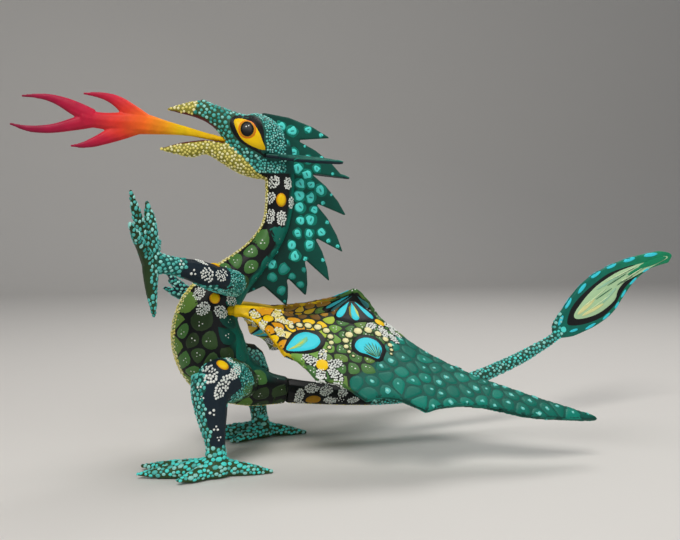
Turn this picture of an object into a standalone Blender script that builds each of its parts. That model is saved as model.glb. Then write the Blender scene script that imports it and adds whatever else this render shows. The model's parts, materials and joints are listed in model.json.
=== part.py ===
"""Carved and painted wooden dragon, an alebrije, as a set of pegged wooden pieces.

The dragon faces -X and its tail runs toward +X. Its left side is -Y and +Z is up.
It stands on the plane z = 0, and the world origin is under the middle of its bounding box.
Points in the lists below are millimetres in the dragon's own frame, whose x = 0 is at the hips.
A tube's points are (x, y, z, radius).
"""

import math

import bmesh
import bpy
from mathutils import Matrix, Vector

MM = 0.001
HIPS_TO_MIDDLE = -98.4      # shift that puts the origin under the middle of the bounding box
GAP = 0.3                   # clearance between two neighbouring pieces

BODY_FLATNESS = 0.96        # width of the body over its height
HEAD_FLATNESS = 0.84
FLAME_FLATNESS = 0.55

CREST_THICKNESS = 4.6
CREST_EDGE = 0.7
LEAF_THICKNESS = 3.8
LEAF_EDGE = 0.9
EAR_THICKNESS = 2.6
EAR_EDGE = 0.6
EAR_WIDTH = 13.0

WING_THICKNESS = 3.0
WING_CAMBER = 2.0           # how far the middle of the wing bulges out of the flat
WING_STEPS = 7              # columns between two corners of the trailing edge
WING_ROWS = 5

LEG_PEG_RADIUS = 3.2
ARM_PEG_RADIUS = 2.6
WING_PEG_RADIUS = 2.9
FLAME_PEG_RADIUS = 1.7
THROAT_CLEARANCE = 0.9      # room round the flame's peg in the throat
EAR_PEG_RADIUS = 1.5
RUMP_X = 25.2               # where the body ends and the tail begins
TENON_SIDE = 6.4            # square tenon at the root of the tail
TENON_LENGTH = 10.0
TENON_RISE = 37.6           # height of the tenon's axis

SPINE = [(19, 0, 193, 11), (22, 0, 181, 9.6), (22.5, 0, 168, 9.4), (21.7, 0, 155, 9.0),
         (19, 0, 143, 8.8), (12, 0, 131, 9.4), (3, 0, 121, 10.6), (-9, 0, 110, 13.4),
         (-20, 0, 97, 17.4), (-25, 0, 83, 20.6), (-23, 0, 67, 22.4), (-15.5, 0, 54, 20.6),
         (-4, 0, 45.5, 16), (10, 0, 40, 11.6), (25.2, 0, 37.6, 8.6)]
SKULL = [(22, 0, 188, 9), (14, 0, 195.5, 14.6), (4, 0, 199.6, 16.2), (-4, 0, 203, 12.6),
         (-11, 0, 208, 8.5), (-19.5, 0, 212.4, 6.4), (-27, 0, 215, 5.6), (-34, 0, 215.4, 4.2),
         (-41, 0, 215, 2.4), (-47.5, 0, 214.5, 0.8)]
JAW = [(16, 0, 182, 9), (6, 0, 184, 9.8), (-4, 0, 186.6, 8.8), (-15, 0, 190.4, 6.4),
       (-25, 0, 192.6, 4.4), (-33, 0, 190.8, 5), (-40, 0, 190.7, 3.8), (-47, 0, 190.3, 2),
       (-52.5, 0, 190.1, 0.8)]
NOSE_HORN = [(-20, 0, 212, 5), (-24, 0, 217, 4), (-27, 0, 221.6, 1)]

CREST_FRONT = [(-1, 100), (3, 110), (12.5, 121), (21.5, 134), (25.5, 150), (25.5, 167), (21, 186),
               (14, 200), (7, 213.5), (12, 215.6)]
CREST_TIPS = [(56, 201.7), (65.5, 176), (67, 151), (64.6, 127), (55.4, 107.7), (39.4, 98.4),
              (26.3, 92.2)]
CREST_NOTCHES = [(33, 199.4), (42.5, 178.4), (45, 159.6), (45, 137), (38, 123.2), (26, 111.6),
                 (11.5, 105.4)]

TAIL_STEM = [(25.2, 0, 37.4, 8), (36, 0, 35.6, 7.6), (53, 0, 33.2, 7), (74, 0, 30.6, 6.3),
             (98, 0, 29, 5.7), (124, 0, 29.8, 5.3), (147, 0, 33.6, 5), (166, 0, 38.2, 4.8),
             (183, 0, 43.8, 4.6), (199, 0, 49.8, 4.3), (215, 0, 57, 3.7), (226, 0, 62.6, 3.2),
             (238, 0, 69.4, 2.6)]
LEAF_OUTLINE = [(227, 66), (237, 87), (254, 105), (271, 114.5), (288, 120.6), (308, 125),
                (327, 126.6), (333, 123), (314, 114.2), (301, 106.6), (290, 95), (279.5, 81.5),
                (269, 74), (254, 67.4), (238, 63.4)]

FLAME_STEM = [(-18, 0, 198.2, 2.1), (-26, 0, 199.7, 2.2), (-35, 0, 201.5, 2.8),
              (-44, 0, 202.7, 3.8), (-52, 0, 203.7, 5), (-61, 0, 204.8, 6.4), (-70, 0, 205, 6.8),
              (-81, 0, 205.2, 5.5), (-90, 0, 205.9, 5), (-97, 0, 206.8, 5.2)]
FLAME_TONGUES = [
    [(-61, 0, 206.6, 4.9), (-69, 0, 211.6, 5.1), (-76, 0, 217, 3.8), (-82, 0, 219.6, 2.6),
     (-89, 0, 220.8, 1.6), (-96, 0, 220.9, 0.7)],
    [(-91, 0, 207.6, 4.8), (-101, 0, 212.2, 4.4), (-108, 0, 215.4, 3.2), (-115, 0, 217.4, 2.2),
     (-122, 0, 217.9, 1.4), (-129.5, 0, 217.5, 0.7)],
    [(-91, 0, 205.8, 4.8), (-103, 0, 202.2, 3.7), (-111, 0, 200, 2.9), (-119, 0, 198.9, 2.4),
     (-127, 0, 199.1, 1.8), (-136, 0, 201.3, 0.7)],
    [(-66, 0, 203.4, 5.4), (-77, 0, 198.8, 5), (-85, 0, 195, 3.8), (-92, 0, 192, 2.7),
     (-98, 0, 190.4, 1.6), (-103.4, 0, 190, 0.7)]]
FLAME_ROOT = Vector((-18, 0, 198.2))
FLAME_AXIS = Vector((-0.985, 0, 0.174))

LEFT_ARM = [(-9, -12, 107.5, 8.2), (-18, -24, 110.5, 8), (-27.5, -32, 113.6, 7.6),
            (-35.5, -38, 116.8, 6.6), (-44.3, -44, 119, 5.5), (-51, -48, 120.6, 5.2),
            (-58, -50.5, 121.8, 6)]
LEFT_FINGERS = [
    [(-61, -51, 121, 4.4), (-63.5, -52, 132.6, 3.6), (-66, -54, 142, 3), (-68.4, -57, 151, 2.3),
     (-70.7, -60, 160.3, 0.8)],
    [(-60.5, -51, 121, 4.4), (-59.8, -48, 134, 3.8), (-60, -46, 142.5, 3.3), (-61, -44, 149.6, 2.4),
     (-62, -43, 155, 0.9)],
    [(-61, -51, 121, 4.2), (-65, -58, 130, 3.2), (-68, -64, 136, 2.6), (-71.3, -70, 142.7, 1.1)],
    [(-60, -50, 122, 3.8), (-57.6, -43, 129.3, 3), (-55, -37, 134, 1.2)],
    [(-60.5, -51, 122, 4.8), (-60.5, -52, 112.7, 3.9), (-60.2, -52, 105.7, 3), (-59.5, -53, 98.7, 2),
     (-59, -54, 93, 0.8)]]
RIGHT_ARM = [(-8, 11, 107.5, 8), (-9, 20, 106.5, 7.6), (-13, 27.5, 101.5, 6.8), (-20, 30, 97.5, 6),
             (-28, 28.5, 96.5, 5.8)]
RIGHT_FINGERS = [
    [(-27, 28.5, 96.5, 4.6), (-34, 27, 100.5, 3.8), (-41, 26, 106.5, 3.2), (-47, 25, 114, 0.9)],
    [(-27, 28.5, 96.5, 4.6), (-35, 28, 98, 3.6), (-42, 27.5, 100.5, 2.8), (-49, 26, 104, 0.9)],
    [(-27, 29, 96.5, 4.4), (-33, 35, 99, 3.4), (-39, 40, 103, 2.5), (-45, 44, 108, 0.9)],
    [(-27, 29, 96, 4.6), (-29, 31, 88, 3.6), (-30, 32.5, 81, 2.6), (-30.5, 33.5, 73.5, 0.9)]]

LEFT_THIGH = [(-3, -12, 46, 9.5), (-9, -21, 49, 11.8), (-17.5, -30, 52, 13.4), (-26, -36, 54.5, 11.6),
              (-29.5, -38, 57, 9)]
LEFT_SHIN = [(-28, -37, 57.5, 9.6), (-28, -38, 50, 10.6), (-27.5, -40, 41, 10), (-26.6, -42, 30, 8),
             (-25.4, -43.5, 19, 5.8), (-25, -44, 10, 6)]
LEFT_TOES = [
    [(-26, -43, 5, 5.6), (-42, -35.5, 3.9, 4.5), (-55, -28, 3.1, 3.2), (-66, -22, 2.8, 0.9)],
    [(-26, -44, 5, 5.8), (-42, -42, 4, 4.8), (-56, -39, 3.2, 3.4), (-68.5, -37, 2.8, 0.9)],
    [(-26, -45, 5, 5.6), (-34, -49.5, 3.8, 4.4), (-41, -52.5, 3, 3), (-48, -55, 2.6, 0.9)],
    [(-24, -44, 5, 5.6), (-14, -46.5, 3.8, 4.4), (-3, -48.6, 2.3, 3.1), (7, -49.6, 0.9, 1)]]
LEFT_HEEL = (-26, -44)

RIGHT_THIGH = [(8, 9, 45, 10), (5, 17, 51, 12), (4, 24, 54, 12.4), (5, 29, 53.5, 10.6)]
RIGHT_SHIN = [(4.5, 27.5, 55, 10), (6, 29, 47, 10), (9, 30.5, 37, 9.2), (12, 31, 27, 7.2),
              (14, 31, 17, 5.6), (15, 31, 9, 6)]
RIGHT_TOES = [
    [(15, 32, 5, 5.6), (1, 38, 3.9, 4.5), (-10, 43.5, 2.6, 3.2), (-19, 48, 1.6, 0.9)],
    [(15, 31, 5, 5.8), (1, 31, 4, 4.8), (-12, 30, 2.8, 3.4), (-23, 30, 1.6, 0.9)],
    [(15, 30, 5, 5.6), (7, 24, 3.8, 4.4), (-1, 20, 2.6, 3), (-8, 17, 1.6, 0.9)],
    [(16, 31, 5, 5.6), (26, 29.5, 3.8, 4.4), (37, 28, 2.3, 3.1), (47, 27, 0.9, 1)]]
RIGHT_HEEL = (14.5, 31)

# Edges of the left wing. A station counts the corners of the trailing edge from the root.
WING_LEADING = [(0, (-9, -18.5, 93.5)), (0.5, (8, -18.5, 91)), (1, (20, -20, 88.5)),
                (2, (34, -22, 87)), (3, (50, -22, 88.5)), (3.5, (65, -14, 96)), (4, (79, -20, 87)),
                (4.33, (101, -35, 67)), (4.67, (118, -47, 56.5)), (5, (135, -58, 48.5)),
                (5.5, (166, -74, 37.5)), (6, (197, -86, 27.5))]
WING_TRAILING = [(0, (-9, -20, 89.5)), (1, (12, -55, 69)), (2, (29, -66, 55)), (3, (53, -80, 45)),
                 (4, (86, -86.5, 38.5)), (5, (150, -86.8, 31)), (6, (199, -87.2, 25.5))]
WING_SCALLOPS = [7, 4.5, 5, 6, 7, -1.2]   # how far each edge between two corners curves in
RIGHT_WING_SWEEP = (15, 0, 6)       # the right wing's bend sits this much further back and up
WING_BONE = [(-10, -17, 91.5, 4), (-2, -19.5, 91.2, 3.7), (9, -19.8, 90.4, 3.2), (22, -21, 88, 2.6)]
WING_PEG = ((-7, -18.4, 91.5), (-18.5, -5.5, 91))

HIP_PEGS = [((-10, -26, 49), (-10, -7, 49)), ((6, 25, 46), (6, 4, 46))]
SHOULDER_PEGS = [((-10, -17, 108), (-10, -4.5, 108)), ((-9, 17, 107), (-9, 4.5, 107))]

PARTS = "alebrije_figure"
CUTTERS = "cutters"


# ---------------------------------------------------------------- scene and material helpers

def clear_scene():
    for ob in list(bpy.data.objects):
        bpy.data.objects.remove(ob, do_unlink=True)


def new_collection(name):
    group = bpy.data.collections.new(name)
    bpy.context.scene.collection.children.link(group)
    return group


def material(name, colour, roughness=0.4):
    mat = bpy.data.materials.new(name)
    mat.use_nodes = True
    shader = mat.node_tree.nodes["Principled BSDF"]
    shader.inputs["Base Color"].default_value = (*colour, 1.0)
    shader.inputs["Roughness"].default_value = roughness
    shader.inputs["Metallic"].default_value = 0.0
    return mat


def mesh_object(name, mesh):
    ob = bpy.data.objects.new(name, mesh)
    bpy.data.collections[CUTTERS].objects.link(ob)
    return ob


def evaluated_mesh(ob):
    bpy.context.view_layer.update()
    graph = bpy.context.evaluated_depsgraph_get()
    return bpy.data.meshes.new_from_object(ob.evaluated_get(graph))


def weld(mesh, distance=0.01):
    bm = bmesh.new()
    bm.from_mesh(mesh)
    bmesh.ops.remove_doubles(bm, verts=bm.verts, dist=distance * MM)
    bmesh.ops.recalc_face_normals(bm, faces=bm.faces)
    bm.to_mesh(mesh)
    bm.free()


# ---------------------------------------------------------------- shapes

def curve_to_mesh(name, curve):
    """Turns a curve into a welded mesh object with the same name."""
    holder = bpy.data.objects.new(name + "_curve", curve)
    bpy.data.collections[CUTTERS].objects.link(holder)
    mesh = evaluated_mesh(holder)
    bpy.data.objects.remove(holder, do_unlink=True)
    weld(mesh)
    return mesh_object(name, mesh)


def tube(name, points, flatness=1.0, detail=3, steps=3, swell=0.0):
    """A smooth limb through (x, y, z, radius) points, squashed in y about the middle plane."""
    curve = bpy.data.curves.new(name, "CURVE")
    curve.dimensions = "3D"
    curve.bevel_depth = MM
    curve.bevel_resolution = detail
    curve.resolution_u = steps
    curve.use_fill_caps = True
    spline = curve.splines.new("BEZIER")
    spline.radius_interpolation = "CARDINAL"
    spline.bezier_points.add(len(points) - 1)
    for knot, (x, y, z, radius) in zip(spline.bezier_points, points):
        knot.co = Vector((x, y, z)) * MM
        knot.radius = radius + swell
        knot.handle_left_type = "AUTO"
        knot.handle_right_type = "AUTO"
    ob = curve_to_mesh(name, curve)
    ob.data.transform(Matrix.Scale(flatness, 4, (0, 1, 0)))
    return ob


def plate(name, outline, thickness, edge, grow=0.0, smooth=False, turn=Matrix.Identity(4)):
    """A flat board cut to an outline of (x, y) points, turned by a matrix after it is made."""
    curve = bpy.data.curves.new(name, "CURVE")
    curve.dimensions = "2D"
    curve.fill_mode = "BOTH"
    curve.extrude = (thickness / 2 - edge) * MM
    curve.bevel_depth = edge * MM
    curve.bevel_resolution = 0
    curve.offset = (grow - edge) * MM
    curve.resolution_u = 3
    spline = curve.splines.new("BEZIER" if smooth else "POLY")
    spline.use_cyclic_u = True
    knots = spline.bezier_points if smooth else spline.points
    knots.add(len(outline) - 1)
    for knot, (x, y) in zip(knots, outline):
        if smooth:
            knot.co = (x * MM, y * MM, 0)
            knot.handle_left_type = "AUTO"
            knot.handle_right_type = "AUTO"
        else:
            knot.co = (x * MM, y * MM, 0, 1)
    ob = curve_to_mesh(name, curve)
    ob.data.transform(turn)
    return ob


def peg(name, start, end, radius, sides=20):
    """A round peg from one point to another."""
    start, end = Vector(start) * MM, Vector(end) * MM
    bm = bmesh.new()
    bmesh.ops.create_cone(bm, cap_ends=True, segments=sides, radius1=radius * MM,
                          radius2=radius * MM, depth=(end - start).length)
    turn = (end - start).to_track_quat("Z", "Y").to_matrix().to_4x4()
    bm.transform(Matrix.Translation((start + end) / 2) @ turn)
    mesh = bpy.data.meshes.new(name)
    bm.to_mesh(mesh)
    bm.free()
    return mesh_object(name, mesh)


def box(name, low, high):
    """A box between two corners."""
    low, high = Vector(low) * MM, Vector(high) * MM
    bm = bmesh.new()
    bmesh.ops.create_cube(bm, size=1.0)
    bm.transform(Matrix.Translation((low + high) / 2) @ Matrix.Diagonal((*(high - low), 1.0)))
    mesh = bpy.data.meshes.new(name)
    bm.to_mesh(mesh)
    bm.free()
    return mesh_object(name, mesh)


def ball(name, centre, radii):
    """An ellipsoid."""
    bm = bmesh.new()
    bmesh.ops.create_uvsphere(bm, u_segments=16, v_segments=10, radius=MM)
    bm.transform(Matrix.Translation(Vector(centre) * MM) @ Matrix.Diagonal((*radii, 1.0)))
    mesh = bpy.data.meshes.new(name)
    bm.to_mesh(mesh)
    bm.free()
    return mesh_object(name, mesh)


def combine(base, other, operation):
    """Joins or cuts one solid with another, which is used up."""
    modifier = base.modifiers.new("combine", "BOOLEAN")
    modifier.operation = operation
    modifier.solver = "EXACT"
    modifier.object = other
    mesh = evaluated_mesh(base)
    base.modifiers.clear()
    base.data = mesh
    weld(mesh, 0.002)
    bpy.data.objects.remove(other, do_unlink=True)


def join(base, others):
    for other in others:
        combine(base, other, "UNION")


def cut(base, others):
    for other in others:
        combine(base, other, "DIFFERENCE")


def finish(ob, name, origin, mat, root):
    """Names a finished piece, moves its origin to a point in the dragon's frame, and files it."""
    centre = Vector(origin) * MM
    ob.data.transform(Matrix.Translation(-centre))
    ob.name = name
    ob.data.name = name
    ob.data.materials.clear()
    ob.data.materials.append(mat)
    ob.location = centre
    ob.parent = root
    ob.data.shade_smooth()
    ob.data.set_sharp_from_angle(angle=math.radians(40))
    bpy.data.collections[CUTTERS].objects.unlink(ob)
    bpy.data.collections[PARTS].objects.link(ob)


# ---------------------------------------------------------------- points that follow a rule

UPRIGHT = Matrix.Rotation(math.radians(90), 4, "X")


def mirrored(points):
    return [(x, -y, z, *rest) for x, y, z, *rest in points]


def at_station(edge, station):
    """The point of a wing edge at a station, straight between the edge's own points."""
    for (s0, p0), (s1, p1) in zip(edge, edge[1:]):
        if station <= s1:
            return Vector(p0).lerp(Vector(p1), (station - s0) / (s1 - s0))
    return Vector(edge[-1][1])


def crest_outline():
    """Front of the crest upward, then spike after spike down its back with bowed edges."""
    outline = list(CREST_FRONT)
    start = Vector(CREST_FRONT[-1])
    for tip, notch in zip(CREST_TIPS, CREST_NOTCHES):
        tip, notch = Vector(tip), Vector(notch)
        out = (tip - start).orthogonal().normalized()
        bow = 0.07 * (tip - start).length
        for part in (0.35, 0.7):
            outline.append(tuple(start.lerp(tip, part) + out * bow * math.sin(math.pi * part)))
        outline.append(tuple(tip))
        outline.append(tuple(notch))
        start = notch
    return outline


# ---------------------------------------------------------------- the pieces

def body_solid(swell=0.0):
    """Trunk, neck and head carved from one branch, grown by a clearance where asked."""
    trunk = tube("trunk", SPINE, BODY_FLATNESS, detail=8, swell=swell)
    skull = tube("skull", SKULL, HEAD_FLATNESS, detail=6, swell=swell)
    jaw = tube("jaw", JAW, HEAD_FLATNESS, detail=6, swell=swell)
    horn = tube("horn", NOSE_HORN, 1.0, swell=swell)
    join(trunk, [skull, jaw, horn])
    return trunk


def build_body():
    body = body_solid()
    cut(body, [
        plate("crest_slot", crest_outline(), CREST_THICKNESS + 2 * GAP, 0.01, GAP, turn=UPRIGHT),
        box("tail_socket", (RUMP_X - TENON_LENGTH - GAP, -TENON_SIDE / 2 - GAP,
                            TENON_RISE - TENON_SIDE / 2 - GAP),
            (40, TENON_SIDE / 2 + GAP, TENON_RISE + TENON_SIDE / 2 + GAP)),
        peg("flame_socket", *flame_peg_ends(outer=30, inner=11), FLAME_PEG_RADIUS + THROAT_CLEARANCE)])
    for side in (-1, 1):
        cut(body, [peg("wing_socket", *wing_peg_ends(side, GAP), WING_PEG_RADIUS + GAP),
                   peg("ear_socket", *ear_peg_ends(side, GAP), EAR_PEG_RADIUS + GAP)])
    cut(body, [peg("hip_socket", *ends, LEG_PEG_RADIUS + GAP) for ends in hip_pegs(GAP)])
    cut(body, [peg("shoulder_socket", *ends, ARM_PEG_RADIUS + GAP) for ends in shoulder_pegs(GAP)])
    return body


def deeper_pegs(pegs, deeper):
    """Ends of crosswise pegs, from the limb to inside the body, reaching further in."""
    return [(outer, (x, y - math.copysign(deeper, y), z)) for outer, (x, y, z) in pegs]


def hip_pegs(deeper=0.0):
    return deeper_pegs(HIP_PEGS, deeper)


def shoulder_pegs(deeper=0.0):
    return deeper_pegs(SHOULDER_PEGS, deeper)


def flame_peg_ends(outer, inner):
    return FLAME_ROOT + FLAME_AXIS * outer, FLAME_ROOT - FLAME_AXIS * inner


def wing_peg_ends(side, deeper=0.0):
    outer, inner = Vector(WING_PEG[0]), Vector(WING_PEG[1])
    inner += (inner - outer).normalized() * deeper
    turn = Vector((1, -side, 1))
    return outer * turn, inner * turn


def build_crest():
    return plate("crest", crest_outline(), CREST_THICKNESS, CREST_EDGE, turn=UPRIGHT)


# Half widths of an ear along its length, as shares of its width and length.
EAR_PROFILE = [(0.06, 0.2), (0.2, 0.42), (0.4, 0.5), (0.65, 0.36), (0.85, 0.16)]
EAR_ROOT = Vector((17, 11.5, 187))
EAR_TIPS = {-1: Vector((57, -27, 182.6)), 1: Vector((79, 27, 178.6))}


def ear_frame(side):
    """Root of an ear and the unit direction it points in."""
    root = EAR_ROOT * Vector((1, side, 1))
    return root, (EAR_TIPS[side] - root)


def ear_peg_ends(side, deeper=0.0):
    root, reach = ear_frame(side)
    along = reach.normalized()
    return root + along * 6, root - along * (6 + deeper)


def build_ear(side):
    """A thin pointed leaf whose upper face leans outward."""
    root, reach = ear_frame(side)
    length = reach.length
    outline = [(length * a, EAR_WIDTH * b) for a, b in EAR_PROFILE] + [(length, 0)]
    outline += [(length * a, -EAR_WIDTH * b) for a, b in reversed(EAR_PROFILE)]
    along = reach.normalized()
    up = (Vector((0, side * 0.3, 1)) - along * along.dot(Vector((0, side * 0.3, 1)))).normalized()
    turn = Matrix((along, up.cross(along), up)).transposed().to_4x4()
    ear = plate("ear", outline, EAR_THICKNESS, EAR_EDGE, turn=Matrix.Translation(root * MM) @ turn)
    cut(ear, [body_solid(GAP)])
    join(ear, [peg("ear_peg", *ear_peg_ends(side), EAR_PEG_RADIUS)])
    return ear


def build_wing(side):
    """A thin scalloped board with a thicker bone and a round peg at its root."""
    columns = WING_STEPS * (len(WING_TRAILING) - 1)
    bm = bmesh.new()
    grid = []
    for column in range(columns + 1):
        station = column / WING_STEPS
        span = min(int(station), len(WING_SCALLOPS) - 1)
        lead = at_station(WING_LEADING, station)
        if side > 0:
            lead += Vector(RIGHT_WING_SWEEP) * math.sin(math.pi * station / len(WING_SCALLOPS)) ** 2
        trail = at_station(WING_TRAILING, station)
        chord = (lead - trail).length
        inward = WING_SCALLOPS[span] * math.sin(math.pi * (station - span)) / chord
        trail = trail.lerp(lead, inward)
        row = []
        for k in range(WING_ROWS + 1):
            across = k / WING_ROWS
            point = lead.lerp(trail, across)
            point.z += WING_CAMBER * math.sin(math.pi * across) * min(1.0, chord / 40)
            point.y *= -side
            row.append(bm.verts.new(point * MM))
        grid.append(row)
    for first, second in zip(grid, grid[1:]):
        for k in range(WING_ROWS):
            bm.faces.new((first[k], second[k], second[k + 1], first[k + 1]))
    mesh = bpy.data.meshes.new("wing_board")
    bm.to_mesh(mesh)
    bm.free()
    wing = mesh_object("wing_board", mesh)
    board = wing.modifiers.new("thickness", "SOLIDIFY")
    board.thickness = WING_THICKNESS * MM
    board.offset = 0.0
    board.use_even_offset = True
    solid = evaluated_mesh(wing)
    wing.modifiers.clear()
    wing.data = solid
    weld(solid)
    bone = WING_BONE if side < 0 else mirrored(WING_BONE)
    join(wing, [tube("wing_bone", bone)])
    cut(wing, [body_solid(GAP)])
    join(wing, [peg("wing_peg", *wing_peg_ends(side), WING_PEG_RADIUS)])
    return wing


def build_tail():
    """A long stem with a carved leaf at its end and a square tenon at its root."""
    tail = tube("tail", TAIL_STEM, detail=3)
    leaf = plate("leaf", LEAF_OUTLINE, LEAF_THICKNESS, LEAF_EDGE, smooth=True, turn=UPRIGHT)
    half = TENON_SIDE / 2
    tenon = box("tenon", (RUMP_X - TENON_LENGTH, -half, TENON_RISE - half), (30, half, TENON_RISE + half))
    cut(tail, [box("rump_gap", (0, -20, 0), (RUMP_X + GAP, 20, 60))])
    join(tail, [leaf, tenon])
    return tail


def build_flame():
    """A flat carved flame of four tongues with a round peg that sits in the throat."""
    flame = tube("flame", FLAME_STEM, FLAME_FLATNESS, detail=3)
    join(flame, [tube("tongue", tongue, FLAME_FLATNESS, detail=3) for tongue in FLAME_TONGUES])
    join(flame, [peg("flame_peg", *flame_peg_ends(outer=3, inner=10.5), FLAME_PEG_RADIUS)])
    return flame


def build_arm(arm, fingers, ends):
    """An arm with clawed fingers, shaped to the shoulder it meets, with its own peg."""
    limb = tube("arm", arm)
    join(limb, [tube("finger", finger, detail=2, steps=2) for finger in fingers])
    cut(limb, [body_solid(GAP)])
    join(limb, [peg("arm_peg", *ends, ARM_PEG_RADIUS)])
    return limb


def build_leg(thigh, shin, toes, heel, ends):
    """A leg with four clawed toes and a flat sole, shaped to the hip it meets."""
    limb = tube("thigh", thigh)
    join(limb, [tube("shin", shin), ball("foot", (*heel, 4.4), (11.5, 9, 6.6))])
    join(limb, [tube("toe", toe, detail=2, steps=2) for toe in toes])
    cut(limb, [box("ground", (-120, -120, -30), (120, 120, 0)), body_solid(GAP)])
    join(limb, [peg("leg_peg", *ends, LEG_PEG_RADIUS)])
    return limb


def main():
    clear_scene()
    new_collection(PARTS)
    new_collection(CUTTERS)
    root = bpy.data.objects.new("hips", None)
    root.location = (HIPS_TO_MIDDLE * MM, 0, 0)
    bpy.data.collections[PARTS].objects.link(root)

    green = material("painted_green", (0.05, 0.23, 0.14))
    teal = material("painted_teal", (0.0, 0.26, 0.2))
    turquoise = material("painted_turquoise", (0.05, 0.35, 0.33))
    orange = material("painted_flame", (0.85, 0.2, 0.03), 0.5)
    wing_paint = material("painted_wing", (0.25, 0.4, 0.1))

    finish(build_body(), "body", (0, 0, 40), green, root)
    finish(build_crest(), "crest", (25, 0, 150), teal, root)
    finish(build_tail(), "tail", (RUMP_X, 0, TENON_RISE), turquoise, root)
    finish(build_flame(), "flame", FLAME_ROOT, orange, root)
    hips, shoulders = hip_pegs(), shoulder_pegs()
    finish(build_leg(LEFT_THIGH, LEFT_SHIN, LEFT_TOES, LEFT_HEEL, hips[0]), "leg_left",
           hips[0][0], turquoise, root)
    finish(build_leg(RIGHT_THIGH, RIGHT_SHIN, RIGHT_TOES, RIGHT_HEEL, hips[1]), "leg_right",
           hips[1][0], turquoise, root)
    finish(build_arm(LEFT_ARM, LEFT_FINGERS, shoulders[0]), "arm_left", shoulders[0][0], turquoise, root)
    finish(build_arm(RIGHT_ARM, RIGHT_FINGERS, shoulders[1]), "arm_right", shoulders[1][0],
           turquoise, root)
    for side, word in ((-1, "left"), (1, "right")):
        finish(build_wing(side), "wing_" + word, wing_peg_ends(side)[0], wing_paint, root)
        finish(build_ear(side), "ear_" + word, ear_frame(side)[0], teal, root)


main()
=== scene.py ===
"""Looks of the carved and painted wooden dragon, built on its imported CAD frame.

Each CAD piece is remeshed into worn, hand-carved wood. The paint then goes on as a carver's
family would lay it: a ground colour, scale cells with the dark ground left open between them,
flowers and eye spots, and last the raised dots. Lengths are millimetres in the dragon's own
frame, whose x = 0 is at the hips: -X is the head's side, the left side is -Y and +Z is up.
"""

import json
import math

import bpy
import numpy as np
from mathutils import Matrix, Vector
from mathutils.bvhtree import BVHTree
from mathutils.kdtree import KDTree


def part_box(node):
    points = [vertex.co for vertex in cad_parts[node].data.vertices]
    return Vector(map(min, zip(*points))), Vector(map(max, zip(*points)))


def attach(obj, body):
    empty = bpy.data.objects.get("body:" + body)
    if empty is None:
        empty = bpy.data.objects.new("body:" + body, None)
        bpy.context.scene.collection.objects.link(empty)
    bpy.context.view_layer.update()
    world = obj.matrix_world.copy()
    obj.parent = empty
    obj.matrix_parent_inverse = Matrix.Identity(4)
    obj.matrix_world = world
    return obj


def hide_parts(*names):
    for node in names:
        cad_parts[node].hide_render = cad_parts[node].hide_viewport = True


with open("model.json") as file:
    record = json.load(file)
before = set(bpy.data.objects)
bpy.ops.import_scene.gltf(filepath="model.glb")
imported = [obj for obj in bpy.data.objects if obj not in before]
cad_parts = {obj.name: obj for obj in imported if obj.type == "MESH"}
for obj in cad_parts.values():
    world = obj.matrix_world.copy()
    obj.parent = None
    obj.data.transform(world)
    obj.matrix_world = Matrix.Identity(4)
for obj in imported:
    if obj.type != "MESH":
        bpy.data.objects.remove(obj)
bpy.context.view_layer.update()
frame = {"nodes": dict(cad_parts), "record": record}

MM = 0.001
TENON_START_X = 15.2                 # where the tail's tenon starts, from the hips
HIPS_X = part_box("tail")[0][0] / MM - TENON_START_X

NEAR, FAR = -1, 1                    # sides of the dragon: its left is nearest the camera
SPINE = np.array([(19, 193), (22, 181), (22.5, 168), (21.7, 155), (19, 143), (12, 131), (3, 121),
                  (-9, 110), (-20, 97), (-25, 83), (-23, 67), (-15.5, 54), (-4, 45.5), (10, 40),
                  (25.2, 37.6)], float)
HEAD_BASE_Z = 177.0
RUMP_FACE_X = 24.0                   # no paint on the face that the tail meets
LAYER = 0.12                         # thickness of one coat of paint
CREST_HALF_WIDTH = 3.4
CANDIDATES = 16                      # random points tried for each one that could fit
CELL_REACH = 1.24                    # how far a scale may spread, in its own spacing
CORNERS = 14                         # corners of one painted scale
PETAL_TRIES = 700                    # random points tried for the dots of a petal
PETAL_FILL = 1.22                    # over 1, the dots of a petal run together


# ---------------------------------------------------------------- colour and materials

def linear(code):
    """Linear colour of a six-digit sRGB code."""
    channels = [int(code[i:i + 2], 16) / 255 for i in (0, 2, 4)]
    return tuple(c / 12.92 if c <= 0.04045 else ((c + 0.055) / 1.055) ** 2.4 for c in channels)


PALETTE = {
    "black": "0d1011", "navy": "14242f", "white": "e9ece6", "white_soft": "dde3dc",
    "cream": "e6da78", "cream_pale": "f4edb4", "cream_deep": "c3b24a", "cream_olive": "8f8a32",
    "turquoise": "58bdb4", "turquoise_pale": "93dcd2", "turquoise_deep": "2f958b",
    "turquoise_shade": "1f7268", "cyan": "38d4e4", "cyan_soft": "58e6dc", "cyan_grey": "3d8f94",
    "yellow": "f5c800", "yellow_pale": "f8e07a", "amber": "e09a08", "ochre": "a87a10",
    "orange": "ee7424", "olive_dark": "2c4022", "olive": "35502a", "green": "47763a",
    "green_light": "6f9d3e", "lime": "a9bf36", "teal": "006a5a", "teal_light": "007d6b",
    "teal_deep": "00463c", "maroon": "5a1519", "leaf_tip": "0f8a5e",
    "ochre_dark": "6e4c0c", "olive_light": "5f8236", "seafoam": "7ed2a0", "lime_pale": "c2d05a",
    "cyan_misty": "58d2d4", "leaf_pale": "b4d8a8", "leaf_root": "e6e6a0", "leaf_mid": "9fcfae",
    "leaf_line": "2f6b4e",
    "leaf_glint": "d8ecc0", "crimson_deep": "8e0f3c", "crimson": "a8123e", "scarlet": "c81c3c",
    "flame_red": "e83c28", "flame_orange": "f86a1c", "amber_bright": "f79a12", "yellow_flame": "f4be08",
}


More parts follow.
